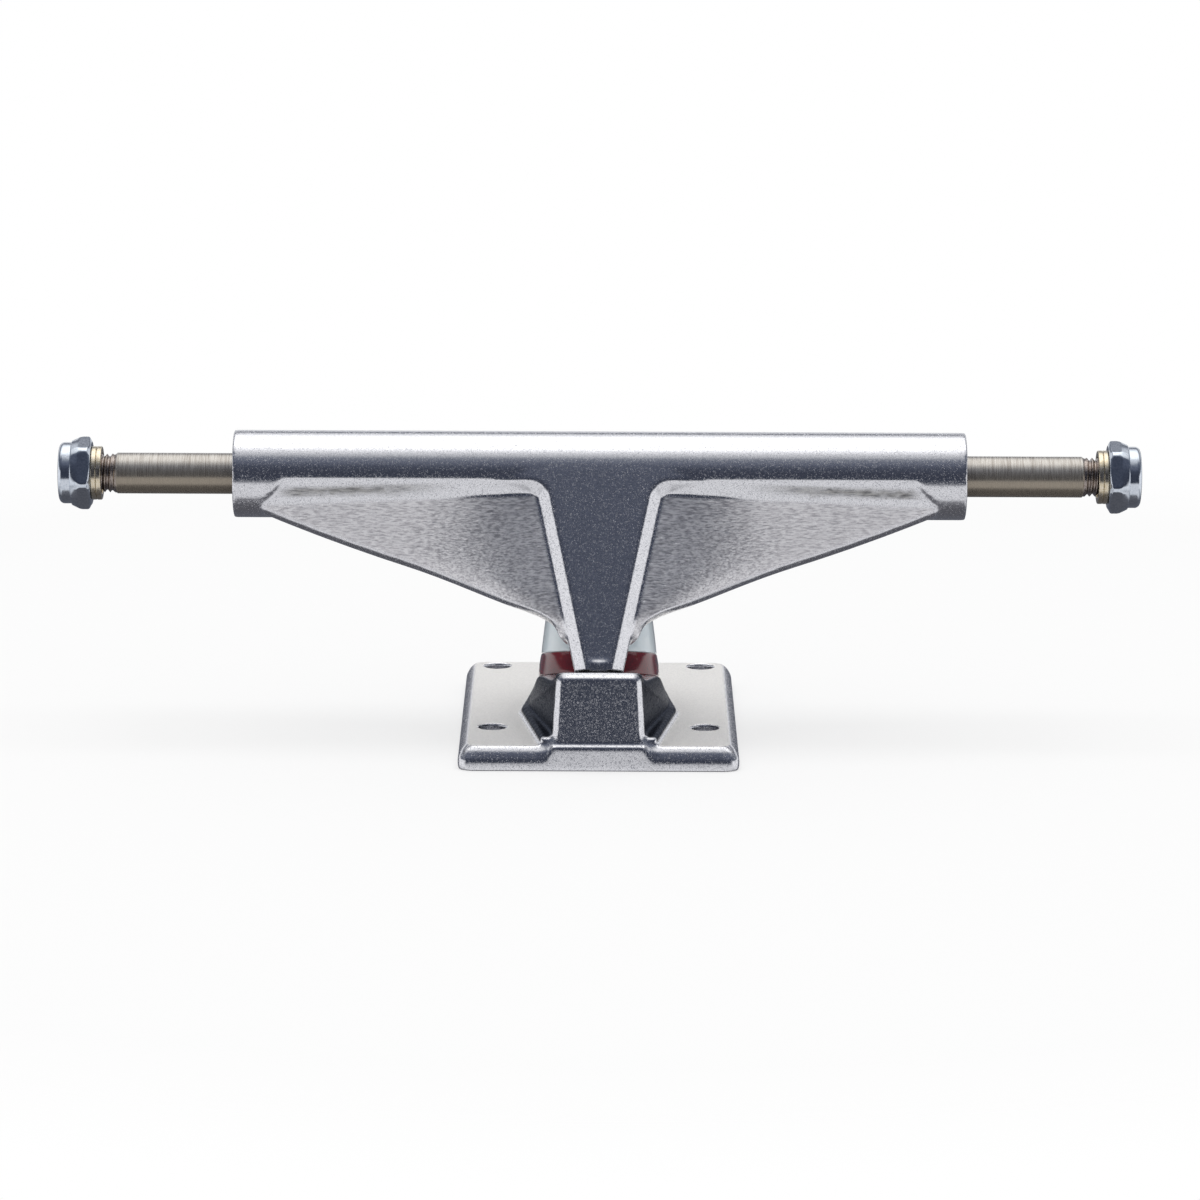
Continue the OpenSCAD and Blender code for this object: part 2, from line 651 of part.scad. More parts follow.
// A point in the stem's leaning plane: x across, v up from the axle's height, and how far behind the face
function on_stem(x, v, sink) = [x, stem_top_y + v * sin(stem_lean) + sink * cos(stem_lean),
    axle_z + v * cos(stem_lean) - sink * sin(stem_lean)];

// The round inner corner where the tube's sharp edge turns down into the stem's bevel
module corner_web() {
    slope = (stem_top_w - stem_foot_w) / 2 / (stem_rise + stem_len);
    mid_v = edge_rise / cos(stem_lean) - edge_corner;
    mid_x = stem_top_w / 2 - (stem_rise - mid_v) * slope + edge_corner / cos(atan(slope));
    // Each section: face edge, foot of the bevel, its back, and the two points sunk in the tube and stem
    function section(a, x, sink) = [for (p = [[0, 0], [-stem_bevel, stem_bevel], [-stem_bevel, stem_body],
            [web_reach, stem_body], [web_reach, 0]])
        on_stem(x + (edge_corner + p[0]) * cos(a), mid_v + (edge_corner + p[0]) * sin(a), p[1] + sink)];
    steps = 8;
    side_a = 180 - atan(slope);
    top_a = 90;
    sections = concat([for (i = [0 : steps]) section(side_a + (top_a - side_a) * i / steps, mid_x, 0)],
        [section(top_a, mid_x + tube_r, web_fade)]);
    skin([for (i = [len(sections) - 1 : -1 : 0]) sections[i]], [[0, 1, 2], [0, 2, 3], [0, 3, 4]]);
}

// The middle of the hanger, behind the stem: from the tube down to the nose and back to the yoke
module hanger_core() {
    half = stem_top_w / 2 - 1;
    foot_half = stem_foot_w / 2 + stem_bevel + 1;
    nose_z = stem_foot_z + 5;
    web_z = seat_z + yoke_web_0;
    web_y = seat_y + core_back;
    intersection() {
        side_view(2 * half) polygon([[stem_face(axle_z) + core_set, axle_z],
            [stem_face(nose_z) + core_set, nose_z], [pivot_y + nose_back, stem_foot_z + nose_rise],
            [seat_y - lower_top_d / 2, web_z], [web_y, web_z + 1], [web_y, web_z + yoke_web + 1],
            [axle_y + tube_r, axle_z - tube_r], [axle_y + tube_r / 2, axle_z]]);
        front_view() polygon([[-half, axle_z], [half, axle_z], [half, wing_root_z - 1.5],
            [foot_half, stem_foot_z + 1], [-foot_half, stem_foot_z + 1], [-half, wing_root_z - 1.5]]);
    }
}

module hanger() color("silver") difference() {
    union() {
        difference() {
            on_axle(LEFT, -hanger_w / 2) cylinder(d = tube_d, h = hanger_w);
            undercut();
        }
        both_sides() {
            wing();
            corner_web();
        }
        hull() {
            stem_slice(0, 0);
            stem_slice(stem_bevel, stem_bevel);
            stem_slice(stem_bevel, stem_body);
        }
        hanger_core();
        on_kingpin(yoke_web_0 - yoke_cup) cylinder(d = yoke_d, h = yoke_web + 2 * yoke_cup);
        on_pivot() {
            sphere(d = pivot_ball_d);
            cylinder(r1 = pivot_ball_d / 2 - 1, r2 = neck_d / 2, h = neck_h);
        }
    }
    on_axle(LEFT, -hanger_w / 2 - 1) cylinder(r = axle_core_d / 2 + seat_gap, h = hanger_w + 2);
    on_kingpin(yoke_web_0 - far / 2) cylinder(d = yoke_bore_d, h = far);
    on_kingpin(yoke_web_0 - far) cylinder(d = lower_top_d + 2, h = far);
    on_kingpin(yoke_web_1) cylinder(d = upper_bushing_d + 3, h = yoke_cup + 1);
    on_kingpin(yoke_web_1 + yoke_cup) cylinder(d = yoke_clear_d, h = far);
}

module axle_end(side) {
    plain = axle_len / 2 - thread_len;
    on_axle(side, 0) cylinder(d = axle_core_d, h = hanger_w / 2);
    on_axle(side, 0) cylinder(d = axle_d, h = plain);
    on_axle(side, plain - eps) rotate_extrude()
        polygon(thread_profile(thread_r, 0, thread_len + eps));
}

module axle() color("dimgray") {
    axle_end(LEFT);
    axle_end(RIGHT);
}

module speed_washer(side, place) color("gold")
    on_axle(side, nut_face - (place + 1) * washer_t) difference() {
        cylinder(d = washer_d, h = washer_t);
        translate([0, 0, -1]) cylinder(r = axle_d / 2 + run_gap, h = washer_t + 2);
    }

module axle_nut(side) color("silver") on_axle(side, nut_face) rotate([0, 0, -side * nut_clock])
    lock_nut(nut_af, nut_h, nut_collar_h, nut_collar_d, nut_bore_r);

module axle_nut_insert(side) color("white") on_axle(side, nut_face)
    lock_ring(nut_h, nut_collar_h, nut_bore_r);

baseplate();
pivot_cup();
kingpin();
lower_washer();
lower_bushing();
lower_bushing_cap();
hanger();
upper_bushing();
upper_cup_washer();
kingpin_nut();
kingpin_nut_insert();
axle();
speed_washer(LEFT, 1);  // left_inner_speed_washer
speed_washer(LEFT, 0);  // left_outer_speed_washer
axle_nut(LEFT);  // left_axle_nut
axle_nut_insert(LEFT);  // left_axle_nut_insert
speed_washer(RIGHT, 1);  // right_inner_speed_washer
speed_washer(RIGHT, 0);  // right_outer_speed_washer
axle_nut(RIGHT);  // right_axle_nut
axle_nut_insert(RIGHT);  // right_axle_nut_insert
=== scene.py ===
"""Skateboard truck: castings, bushings and hardware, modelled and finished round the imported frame."""

import json
import logging
import math
from collections.abc import Callable
from dataclasses import dataclass, field
from enum import Enum

import bmesh
import bpy
from mathutils import Matrix, Vector


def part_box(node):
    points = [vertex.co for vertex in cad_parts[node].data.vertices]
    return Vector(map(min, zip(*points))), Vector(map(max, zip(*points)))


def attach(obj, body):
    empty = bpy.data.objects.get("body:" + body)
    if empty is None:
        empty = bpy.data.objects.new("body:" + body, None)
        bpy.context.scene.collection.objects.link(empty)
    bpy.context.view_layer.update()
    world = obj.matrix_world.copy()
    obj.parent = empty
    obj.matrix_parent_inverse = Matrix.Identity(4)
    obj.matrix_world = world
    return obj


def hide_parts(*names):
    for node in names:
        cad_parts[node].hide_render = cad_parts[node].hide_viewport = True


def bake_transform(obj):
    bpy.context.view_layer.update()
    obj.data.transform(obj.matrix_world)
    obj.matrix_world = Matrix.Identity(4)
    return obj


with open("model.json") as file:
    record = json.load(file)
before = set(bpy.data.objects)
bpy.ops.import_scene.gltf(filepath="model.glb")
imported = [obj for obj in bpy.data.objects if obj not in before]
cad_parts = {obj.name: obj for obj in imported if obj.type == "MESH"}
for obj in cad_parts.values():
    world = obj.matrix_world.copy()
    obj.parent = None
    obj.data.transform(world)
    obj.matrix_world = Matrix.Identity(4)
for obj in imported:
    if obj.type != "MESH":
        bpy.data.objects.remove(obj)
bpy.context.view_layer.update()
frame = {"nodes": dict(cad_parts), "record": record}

MM = 0.001
# The threads have 24 turns to the inch: their pitch, how far before the end face they run out, how steeply a
# groove's flanks rise over a pitch, and the blank's rings for each turn. Lengths are in millimetres.
PITCH = 1.0583
RUNOUT = 0.3
FLANK = 2.6
RINGS_PER_TURN = 8
# A vertex this near a turned solid's end or shoulder, in millimetres, belongs to it, and one this far beyond
# is clear of its rounding.
AT_FACE = 0.02
CLEAR = 1.0
# A noise texture's values lie mostly between these two.
NOISE_LOW, NOISE_HIGH = 0.35, 0.65
log = logging.getLogger("truck")

Point = tuple[float, float]
Corner = tuple[float, float, float]
Colour = tuple[float, float, float, float]
Cloth = tuple[tuple[float, str], ...]
Rule = Callable[[float, float, float], float]


class Side(Enum):
    """The two ends of the axle, as the sign of X."""

    LEFT = -1
    RIGHT = 1


class Mask(Enum):
    """The masks on the castings, as the names of their vertex attributes."""

    ROUGH = "rough_share"
    # The hanger's skipped strip, and the plate's flanks, where a dark colour paints their shade.
    STRIP_AND_FLANK_SHADE = "strip_and_flank_shade_share"
    RELAXED = "relaxed_share"


def colour(code: str) -> Colour:
    """Turns an sRGB hex colour into linear red, green, blue and alpha.

    Args:
        code: Six hex digits, such as "c8ccd4".

    Returns:
        The linear colour with an alpha of 1.
    """
    parts = [int(code[i:i + 2], 16) / 255 for i in (0, 2, 4)]
    return (*[p / 12.92 if p <= 0.04045 else ((p + 0.055) / 1.055) ** 2.4 for p in parts], 1.0)


def per_mm(size_mm: float) -> float:
    """Gives the texture scale at which one feature is size_mm across, on coordinates in metres."""
    return 1.0 / (size_mm * MM)


def add(tree: bpy.types.NodeTree, kind: str, inputs: dict | None = None, **settings) -> bpy.types.Node:
    """Adds a shader node, sets it and links it.

    Args:
        tree: The node tree that the node joins.
        kind: The node's Blender type, without the ShaderNode prefix.
        inputs: Socket name or index to a value, or to the output socket that feeds it.
        **settings: Properties of the node itself.

    Returns:
        The new node.
    """
    made = tree.nodes.new("ShaderNode" + kind)
    for name, value in settings.items():
        setattr(made, name, value)
    for key, value in (inputs or {}).items():
        if isinstance(value, bpy.types.NodeSocket):
            tree.links.new(value, made.inputs[key])
        else:
            made.inputs[key].default_value = value
    return made


def blank_material(name: str) -> tuple[bpy.types.Material, bpy.types.NodeTree]:
    """Makes an empty node material and returns it with its tree."""
    material = bpy.data.materials.new(name)
    material.use_nodes = True
    material.node_tree.nodes.clear()
    return material, material.node_tree


def ramp(tree: bpy.types.NodeTree, factor: bpy.types.NodeSocket,
         stops: list[tuple[float, Colour]]) -> bpy.types.Node:
    """Adds a colour ramp with the given stops.

    Args:
        tree: The node tree that the ramp joins.
        factor: The socket that feeds it.
        stops: Positions and colours, in rising order, two or more.

    Returns:
        The ramp node.
    """
    made = add(tree, "ValToRGB", {"Fac": factor})
    elements = made.color_ramp.elements
    while len(elements) < len(stops):
        elements.new(0.5)
    for element, (place, value) in zip(elements, stops):
        element.position = place
        element.color = value
    return made


def grey(value: float) -> Colour:
    """Gives a neutral linear colour."""
    return (value, value, value, 1.0)


@dataclass(frozen=True)
class Metal:
    """A bare or plated metal skin, with a fine grain and a slower waviness.

    The grain is what the tool, the tumbling or the mould left. It breaks the reflections into fine specks,
    and the waviness bends them a little, as on any casting or plated part. The grain that polishing, grinding
    and plating leave is too fine to show in the render, so it is drawn coarser, at 0.17 mm or more.

    Attributes:
        name: The metal and how its surface was made.
        tint: Its colour on the grain's high points.
        shade: Its colour between them.
        roughness: Where the grain is smoothest and where it is roughest.
        grain_mm: The size of the grain.
        grain_depth_mm: How deep it is.
        wave_mm: The size of the waves.
        wave_depth_mm: How deep they are.
        stretch: The grain's scale along X, Y and Z, below 1 where it is drawn out.
        specks: How far the steepest facets of the grain are tilted, or 0 for a grain without facets.
        pits: How much rougher the steepest facets are.
        metallic: Below 1 where oxide or oil dulls the metal.
        glance: Its colour at a glancing angle.
        underside_shade: The colour of a painted shade, darker and browner, over its underside, or "" for
            none.
        underside_shade_mm: The heights at which that painted shade begins and is full.
        tint_from: The height of the grain from which the tint is full.
        level_share: How far most facets are tilted, as a share of the steepest.
        rarity: The power that makes steep facets rare.
    """

    name: str
    tint: str
    shade: str
    roughness: Point
    grain_mm: float
    grain_depth_mm: float
    wave_mm: float = 6.0
    wave_depth_mm: float = 0.003
    stretch: tuple[float, float, float] = (1.0, 1.0, 1.0)
    specks: float = 0.0
    pits: float = 0.0
    metallic: float = 1.0
    glance: str = "ffffff"
    underside_shade: str = ""
    underside_shade_mm: Point = (0.0, 0.0)
    tint_from: float = 0.6
    level_share: float = 0.12
    rarity: float = 6.0

    def paint_underside_shade(self, tree: bpy.types.NodeTree, place: bpy.types.NodeSocket,
              tone: bpy.types.NodeSocket) -> bpy.types.NodeSocket:
        """Lays a painted shade over the metal's colour, on the underside below a height.

        Args:
            tree: The material's node tree.
            place: The place on the piece.
            tone: The metal's colour.

        Returns:
            The socket of the colour with the painted shade.
        """
        height = add(tree, "SeparateXYZ", {0: place}).outputs["Z"]
        share = add(tree, "MapRange", {"Value": height, "From Min": self.underside_shade_mm[0] * MM,
                                       "From Max": self.underside_shade_mm[1] * MM}).outputs["Result"]
        return add(tree, "Mix", {0: share, 6: tone, 7: colour(self.underside_shade)}, data_type="RGBA").outputs[2]

    def facets(self, tree: bpy.types.NodeTree, drawn: bpy.types.NodeSocket, normal: bpy.types.NodeSocket,
               gloss: bpy.types.NodeSocket) -> tuple[bpy.types.NodeSocket, bpy.types.NodeSocket]:
        """Makes each cell of the grain one facet.

        Most lie nearly level, and a few are rough pits that stand up and catch the light.

        Args:
            tree: The material's node tree.
            drawn: The grain's coordinates.
            normal: The skin's direction.
            gloss: Its roughness.

        Returns:
            The sockets of the direction and the roughness with the facets.
        """
        cells = add(tree, "TexVoronoi", {"Vector": drawn, "Scale": per_mm(self.grain_mm)})
        tilt = add(tree, "VectorMath", {0: cells.outputs["Color"], 1: (0.5, 0.5, 0.5)}, operation="SUBTRACT")
        draw = add(tree, "TexWhiteNoise", {"Vector": cells.outputs["Position"]}).outputs["Value"]
        rare = add(tree, "Math", {0: draw, 1: self.rarity}, operation="POWER").outputs[0]
        reach = add(tree, "MapRange", {"Value": rare, "To Min": self.specks * self.level_share,
                                       "To Max": self.specks})
        swing = add(tree, "VectorMath", {0: tilt.outputs[0], "Scale": reach.outputs["Result"]},
                    operation="SCALE")
        turned = add(tree, "VectorMath", {0: normal, 1: swing.outputs[0]}, operation="ADD")
        facet = add(tree, "VectorMath", {0: turned.outputs[0]}, operation="NORMALIZE").outputs[0]
        rough = add(tree, "Math", {0: rare, 1: self.pits, 2: gloss}, operation="MULTIPLY_ADD").outputs[0]
        return facet, rough

    def shader(self, tree: bpy.types.NodeTree) -> bpy.types.NodeSocket:
        """Adds the skin's nodes to a tree.

        Args:
            tree: The material's node tree.

        Returns:
            The socket of the finished shader.
        """
        place = add(tree, "TexCoord").outputs["Object"]
        drawn = add(tree, "Mapping", {"Vector": place, "Scale": self.stretch}).outputs["Vector"]
        grain = add(tree, "TexNoise", {"Vector": drawn, "Scale": per_mm(self.grain_mm), "Detail": 3.0,
                                       "Roughness": 0.6}).outputs["Fac"]
        wave = add(tree, "TexNoise", {"Vector": place, "Scale": per_mm(self.wave_mm),
                                      "Detail": 1.0}).outputs["Fac"]
        stops = [(NOISE_LOW, colour(self.shade)), (self.tint_from, colour(self.tint))]
        tone = ramp(tree, grain, stops).outputs["Color"]
        # Painted shade: darker and browner over the underside, below the given heights.
        if self.underside_shade:
            tone = self.paint_underside_shade(tree, place, tone)
        low, high = self.roughness
        gloss = add(tree, "MapRange", {"Value": grain, "From Min": NOISE_LOW, "From Max": NOISE_HIGH,
                                       "To Min": low, "To Max": high}).outputs["Result"]
        slow = add(tree, "Bump", {"Height": wave, "Distance": self.wave_depth_mm * MM, "Strength": 1.0})
        fine = add(tree, "Bump", {"Height": grain, "Distance": self.grain_depth_mm * MM, "Strength": 1.0,
                                  "Normal": slow.outputs["Normal"]}).outputs["Normal"]
        if self.specks > 0:
            fine, gloss = self.facets(tree, drawn, fine, gloss)
        made = add(tree, "BsdfPrincipled", {"Base Color": tone, "Metallic": self.metallic, "Roughness": gloss,
                                            "Specular Tint": colour(self.glance), "Normal": fine})
        return made.outputs["BSDF"]

    def build(self) -> bpy.types.Material:
        """Builds the material.

        Returns:
            The finished material.
        """
        material, tree = blank_material(self.name)
        add(tree, "OutputMaterial", {"Surface": self.shader(tree)})
        return material


@dataclass(frozen=True)
class Skins:
    """One casting with several skins: polished where the belt reached, and others where their masks say."""

    name: str
    base: Metal
    layers: tuple[tuple[Mask, Metal], ...]

    def build(self) -> bpy.types.Material:
        """Builds the material.

        Returns:
            The finished material.
        """
        material, tree = blank_material(self.name)
        shown = self.base.shader(tree)
        for mask, skin in self.layers:
            share = add(tree, "Attribute", attribute_name=mask.value).outputs["Fac"]
            shown = add(tree, "MixShader", {0: share, 1: shown, 2: skin.shader(tree)}).outputs[0]
        add(tree, "OutputMaterial", {"Surface": shown})
        return material


@dataclass(frozen=True)
class Polymer:
    """A cast or moulded plastic: a faintly clouded body under a glossy or dull surface.

    Attributes:
        name: The plastic and how it was made.
        tint: Its colour between the clouds.
        shade: Its colour in them.
        roughness: The body's.
        orange_peel_mm: The size of the waves that the mould left on it.
        peel_depth_mm: How deep they are.
        coat: 1 for the glossy skin of an open mould, 0 for none.
        coat_roughness: That skin's.
        cloud_mm: The size of the clouds.
        ior: The plastic's index of refraction.
    """

    name: str
    tint: str
    shade: str
    roughness: float
    orange_peel_mm: float = 1.2
    peel_depth_mm: float = 0.01
    coat: float = 0.0
    coat_roughness: float = 0.03
    cloud_mm: float = 5.0
    ior: float = 1.5

    def build(self) -> bpy.types.Material:
        """Builds the material.

        Returns:
            The finished material.
        """
        material, tree = blank_material(self.name)
        place = add(tree, "TexCoord").outputs["Object"]
        cloud = add(tree, "TexNoise", {"Vector": place, "Scale": per_mm(self.cloud_mm),
                                       "Detail": 3.0}).outputs["Fac"]
        tone = ramp(tree, cloud, [(NOISE_LOW, colour(self.shade)), (NOISE_HIGH, colour(self.tint))])
        peel = add(tree, "TexNoise", {"Vector": place, "Scale": per_mm(self.orange_peel_mm), "Detail": 2.0})
        bump = add(tree, "Bump", {"Height": peel.outputs["Fac"], "Distance": self.peel_depth_mm * MM,
                                  "Strength": 1.0})
        shader = add(tree, "BsdfPrincipled", {"Base Color": tone.outputs["Color"],
                                              "Roughness": self.roughness, "IOR": self.ior,
                                              "Coat Weight": self.coat, "Coat Roughness": self.coat_roughness,
                                              "Normal": bump.outputs["Normal"]})
        add(tree, "OutputMaterial", {"Surface": shader.outputs["BSDF"]})
        return material


# Polished on the belt: a bright mirror broken into fine specks.
POLISHED = Metal("polished_aluminium", "ebebee", "c6c7cb", (0.12, 0.2), 0.17, 0.002, specks=0.16, pits=0.5)
# The mould's own skin in the wings' pockets: pale, dull and drawn out along the wing, under a thin oxide.
AS_CAST = Metal("as_cast_aluminium", "fefdfe", "bebcc0", (0.4, 0.54), 0.3, 0.085, stretch=(0.22, 1.0, 1.0),
                wave_mm=2.6, wave_depth_mm=0.04, specks=0.36, metallic=0.92)
# The strip above the pockets that the belt skipped: dark streaks along the wing.
SKIPPED = Metal("belt_skipped_aluminium", "b4b3b0", "3e3e42", (0.3, 0.45), 0.34, 0.06,
                stretch=(0.16, 1.0, 1.0), specks=0.3)
# Tumbled with fine stones: an even, pale satin.
TUMBLED = Metal("tumbled_aluminium", "fefcf8", "f2f0ec", (0.52, 0.62), 0.3, 0.006, specks=0.3)
# The tower's flanks: a dull shine over a dark grey colour, greyer still at a glance, that paints the shade
# they show.
FLANK_SHADE_SKIN = Metal("unpolished_aluminium", "43464d", "2d3036", (0.22, 0.34), 0.3, 0.012, specks=0.2, pits=0.3,
                   glance="bcbec4")


@dataclass
class Finishes:
    """Every finish on the truck, built once and shared.

    Each is named for what the real part is made of and how its surface was made; some also carry painted
    shade or a painted reflection.
    """

    # Die-cast aluminium, polished. The wings' pockets kept the mould's skin, and a strip above them is dark.
    hanger: Skins = Skins("polished_and_cast_aluminium", POLISHED,
                          ((Mask.ROUGH, AS_CAST), (Mask.STRIP_AND_FLANK_SHADE, SKIPPED)))
    # The same alloy on the base: polished walls, and a satin top that the belt left and tumbling evened out.
    # On the tower's flanks a dark colour paints their shade.
    plate: Skins = Skins("polished_and_tumbled_aluminium", POLISHED,
                         ((Mask.ROUGH, TUMBLED), (Mask.STRIP_AND_FLANK_SHADE, FLANK_SHADE_SKIN)))
    # Ground chromium steel: fine rings round the axle, and a painted shade, darker and browner, over its
    # underside.
    ground: Metal = Metal("ground_axle_steel", "bcb8b2", "948e87", (0.22, 0.34), 0.22, 0.0015,
                          stretch=(1.0, 0.05, 0.05), metallic=0.82, underside_shade="968d80", underside_shade_mm=(54.0, 51.6))
    # Rolled thread on the same steel.
    rolled: Metal = Metal("rolled_thread_steel", "b4aaa3", "857a74", (0.22, 0.36), 0.3, 0.006)
    # Bright zinc plate, passivated: a cool, blue-white shine.
    zinc: Metal = Metal("bright_zinc_plate", "d6dce4", "c0c8d2", (0.1, 0.18), 0.4, 0.003)
    # Yellow chromate over zinc: pale gold.
    gold: Metal = Metal("yellow_zinc_plate", "e6dcc8", "ccbe9e", (0.18, 0.3), 0.3, 0.005)
    # Oil-blackened kingpin steel: nearly black, with a soft shine.
    black: Metal = Metal("blackened_steel", "56565a", "3c3c3f", (0.28, 0.4), 0.4, 0.008)
    # Cast urethane, dark red and glossy, as it leaves an open mould.
    red: Polymer = Polymer("red_cast_urethane", "7d1420", "5c0c16", 0.14, coat=1.0)
    # Cast urethane of the lower bushing's upper zone, in a near-white pale blue that paints the bright
    # reflection on that zone.
    pale: Polymer = Polymer("pale_blue_cast_urethane", "f0fafe", "e4f1f8", 0.14, coat=1.0)
    # Dull moulded urethane of the pivot cup.
    cup: Polymer = Polymer("black_cup_urethane", "2a2a2d", "1d1d20", 0.5)
    # Natural nylon of the locking rings.
    nylon: Polymer = Polymer("natural_nylon", "dedcd2", "c9c6ba", 0.38)
    made: dict[str, bpy.types.Material] = field(default_factory=dict)

    def get(self, finish: Metal | Polymer | Skins) -> bpy.types.Material:
        """Gives the finish's material, building it on its first use."""
        if finish.name not in self.made:
            self.made[finish.name] = finish.build()
        return self.made[finish.name]


FINISHES = Finishes()


def mesh_object(name: str, bm: bmesh.types.BMesh, place: Matrix | None = None) -> bpy.types.Object:
    """Turns a bmesh into an object at the origin, shaded smooth, with its place in its mesh.

    Args:
        name: The piece's name.
        bm: The shape in millimetres. It is freed.
        place: Where the shape goes, in millimetres.

    Returns:
        The new object.
    """
    bmesh.ops.transform(bm, matrix=Matrix.Scale(MM, 4) @ (place or Matrix()), verts=bm.verts)
    mesh = bpy.data.meshes.new(name)
    bm.to_mesh(mesh)
    bm.free()
    mesh.shade_smooth()
    made = bpy.data.objects.new(name, mesh)
    bpy.context.scene.collection.objects.link(made)
    return made


def finish_piece(piece: bpy.types.Object, body: str | None, nodes: tuple[str, ...],
                 materials: tuple[Metal | Polymer | Skins, ...]) -> bpy.types.Object:
    """Dresses a piece, lets it ride on its body and reports it.

    Args:
        piece: The modelled piece.
        body: The CAD body that it moves with, or None for a piece that moves with none.
        nodes: The CAD nodes that it stands for.
        materials: Its finishes, in the order of its material slots.

    Returns:
        The piece.
    """
    for finish in materials:
        piece.data.materials.append(FINISHES.get(finish))
    if body:
        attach(piece, body)
    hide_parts(*nodes)
    log.info("%s rides on %s, %d faces", piece.name, body or "two bodies", len(piece.data.polygons))
    return piece


def lathe(profile: list[Point], segments: int = 96) -> bmesh.types.BMesh:
    """Spins a closed outline of (radius, height) points about Z.

    Args:
        profile: The outline. A radius of 0 makes a pole.
        segments: The number of steps round the axis.

    Returns:
        The solid, with its doubles merged and its faces turned outwards.
    """
    bm = bmesh.new()
    ring = [bm.verts.new((r, 0.0, z)) for r, z in profile]
    edges = [bm.edges.new((a, b)) for a, b in zip(ring, ring[1:] + ring[:1]) if a.co.x or b.co.x]
    bmesh.ops.spin(bm, geom=ring + edges, angle=math.tau, steps=segments, use_merge=True, axis=(0, 0, 1),
                   cent=(0, 0, 0))
    bmesh.ops.remove_doubles(bm, verts=bm.verts, dist=1e-5)
    bmesh.ops.recalc_face_normals(bm, faces=bm.faces)
    return bm


def rounded(corners: list[Corner], steps: int = 4) -> list[Point]:
    """Rounds the corners of a closed outline.

    Args:
        corners: (radius, height, corner radius) for each corner, in order.
        steps: The number of segments in each rounded corner.

    Returns:
        The outline's points.
    """
    outline: list[Point] = []
    count = len(corners)
    for i, (x, y, radius) in enumerate(corners):
        here = Vector((x, y))
        if radius <= 0:
            outline.append((x, y))
            continue
        before = (Vector(corners[i - 1][:2]) - here).normalized()
        after = (Vector(corners[(i + 1) % count][:2]) - here).normalized()
        half = before.angle(after) / 2
        reach = radius / math.tan(half)
        centre = here + (before + after).normalized() * (radius / math.sin(half))
        first, last = here + before * reach - centre, here + after * reach - centre
        for k in range(steps + 1):
            spoke = first.lerp(last, k / steps).normalized() * radius
            outline.append(tuple(centre + spoke))
    return outline


def subdivide_outline(outline: list[Point], longest: float) -> list[Point]:
    """Adds points along an outline's long stretches.

    Args:
        outline: The closed outline.
        longest: The longest step that may stay.

    Returns:
        The outline with the new points.
    """
    points: list[Point] = []
    for (r0, z0), (r1, z1) in zip(outline, outline[1:] + outline[:1]):
        steps = max(1, math.ceil(math.hypot(r1 - r0, z1 - z0) / longest))
        points += [(r0 + (r1 - r0) * k / steps, z0 + (z1 - z0) * k / steps) for k in range(steps)]
    return points


def threaded_end(crest: float, start: float, length: float, chamfer: float) -> list[Point]:
    """Gives the outline of a shaft's threaded end, ready for its thread to be rolled.

    Args:
        crest: The radius over the crests.
        start: Where the thread begins.
        length: How far it is from there to the end face.
        chamfer: The chamfer at that face.

    Returns:
        The points from the thread's start to the middle of the end face.
    """
    rings = int(length / PITCH * RINGS_PER_TURN)
    points = [(crest, start + (length - chamfer) * k / rings) for k in range(rings + 1)]
    return points + [(crest - chamfer, start + length), (0.0, start + length)]


def radial(bm: bmesh.types.BMesh, rule: Rule) -> bmesh.types.BMesh:
    """Moves each vertex in or out from Z by a rule.

    Args:
        bm: A lathed solid.
        rule: Takes a vertex's radius, angle and height and gives its new radius.

    Returns:
        The same solid.
    """
    for vert in bm.verts:
        radius = math.hypot(vert.co.x, vert.co.y)
        if radius > 1e-6:
            turn = math.atan2(vert.co.y, vert.co.x)
            factor = rule(radius, turn, vert.co.z) / radius
            vert.co.x *= factor
            vert.co.y *= factor
    return bm


def hexagon(flats: float, clock: float = 0.0) -> Rule:
    """Gives the rule that cuts a turned blank to a hexagon.

    Args:
        flats: The hexagon's width across its flats.
        clock: The angle by which its corners are turned.

    Returns:
        The rule.
    """
    def rule(radius: float, turn: float, _height: float) -> float:
        """Gives the radius that is left at a place on the blank."""
        return min(radius, flats / 2 / math.cos(((turn - clock) % (math.pi / 3)) - math.pi / 6))
    return rule


def thread(crest: float, depth: float, start: float, end: float) -> Rule:
    """Gives the rule that rolls a right-handed thread on a turned blank.

    Args:
        crest: The radius over the crests. Smaller radii are left alone.
        depth: How deep the roots are.
        start: Where the thread begins.
        end: Where it ends, at the shaft's chamfer.

    Returns:
        The rule.
    """
    def rule(radius: float, turn: float, height: float) -> float:
        """Gives the radius that is left at a place on the blank."""
        if radius < crest - depth or not start < height < end:
            return radius
        phase = (height / PITCH - turn / math.tau) % 1.0
        cut = depth * min(1.0, max(0.0, FLANK / 2 - FLANK * abs(phase - 0.5)))
        fade = min(1.0, (height - start) / PITCH, (end - height) / (PITCH / 2))
        return min(radius, crest - depth + (depth - cut) + cut * (1.0 - fade))
    return rule


def step(value: float, low: float, high: float) -> float:
    """Rises smoothly from 0 at low to 1 at high.

    Args:
        value: The value that counts.
        low: Where the rise begins.
        high: Where it ends.

    Returns:
        The share, from 0 to 1.
    """
    t = min(1.0, max(0.0, (value - low) / (high - low)))
    return t * t * (3 - 2 * t)


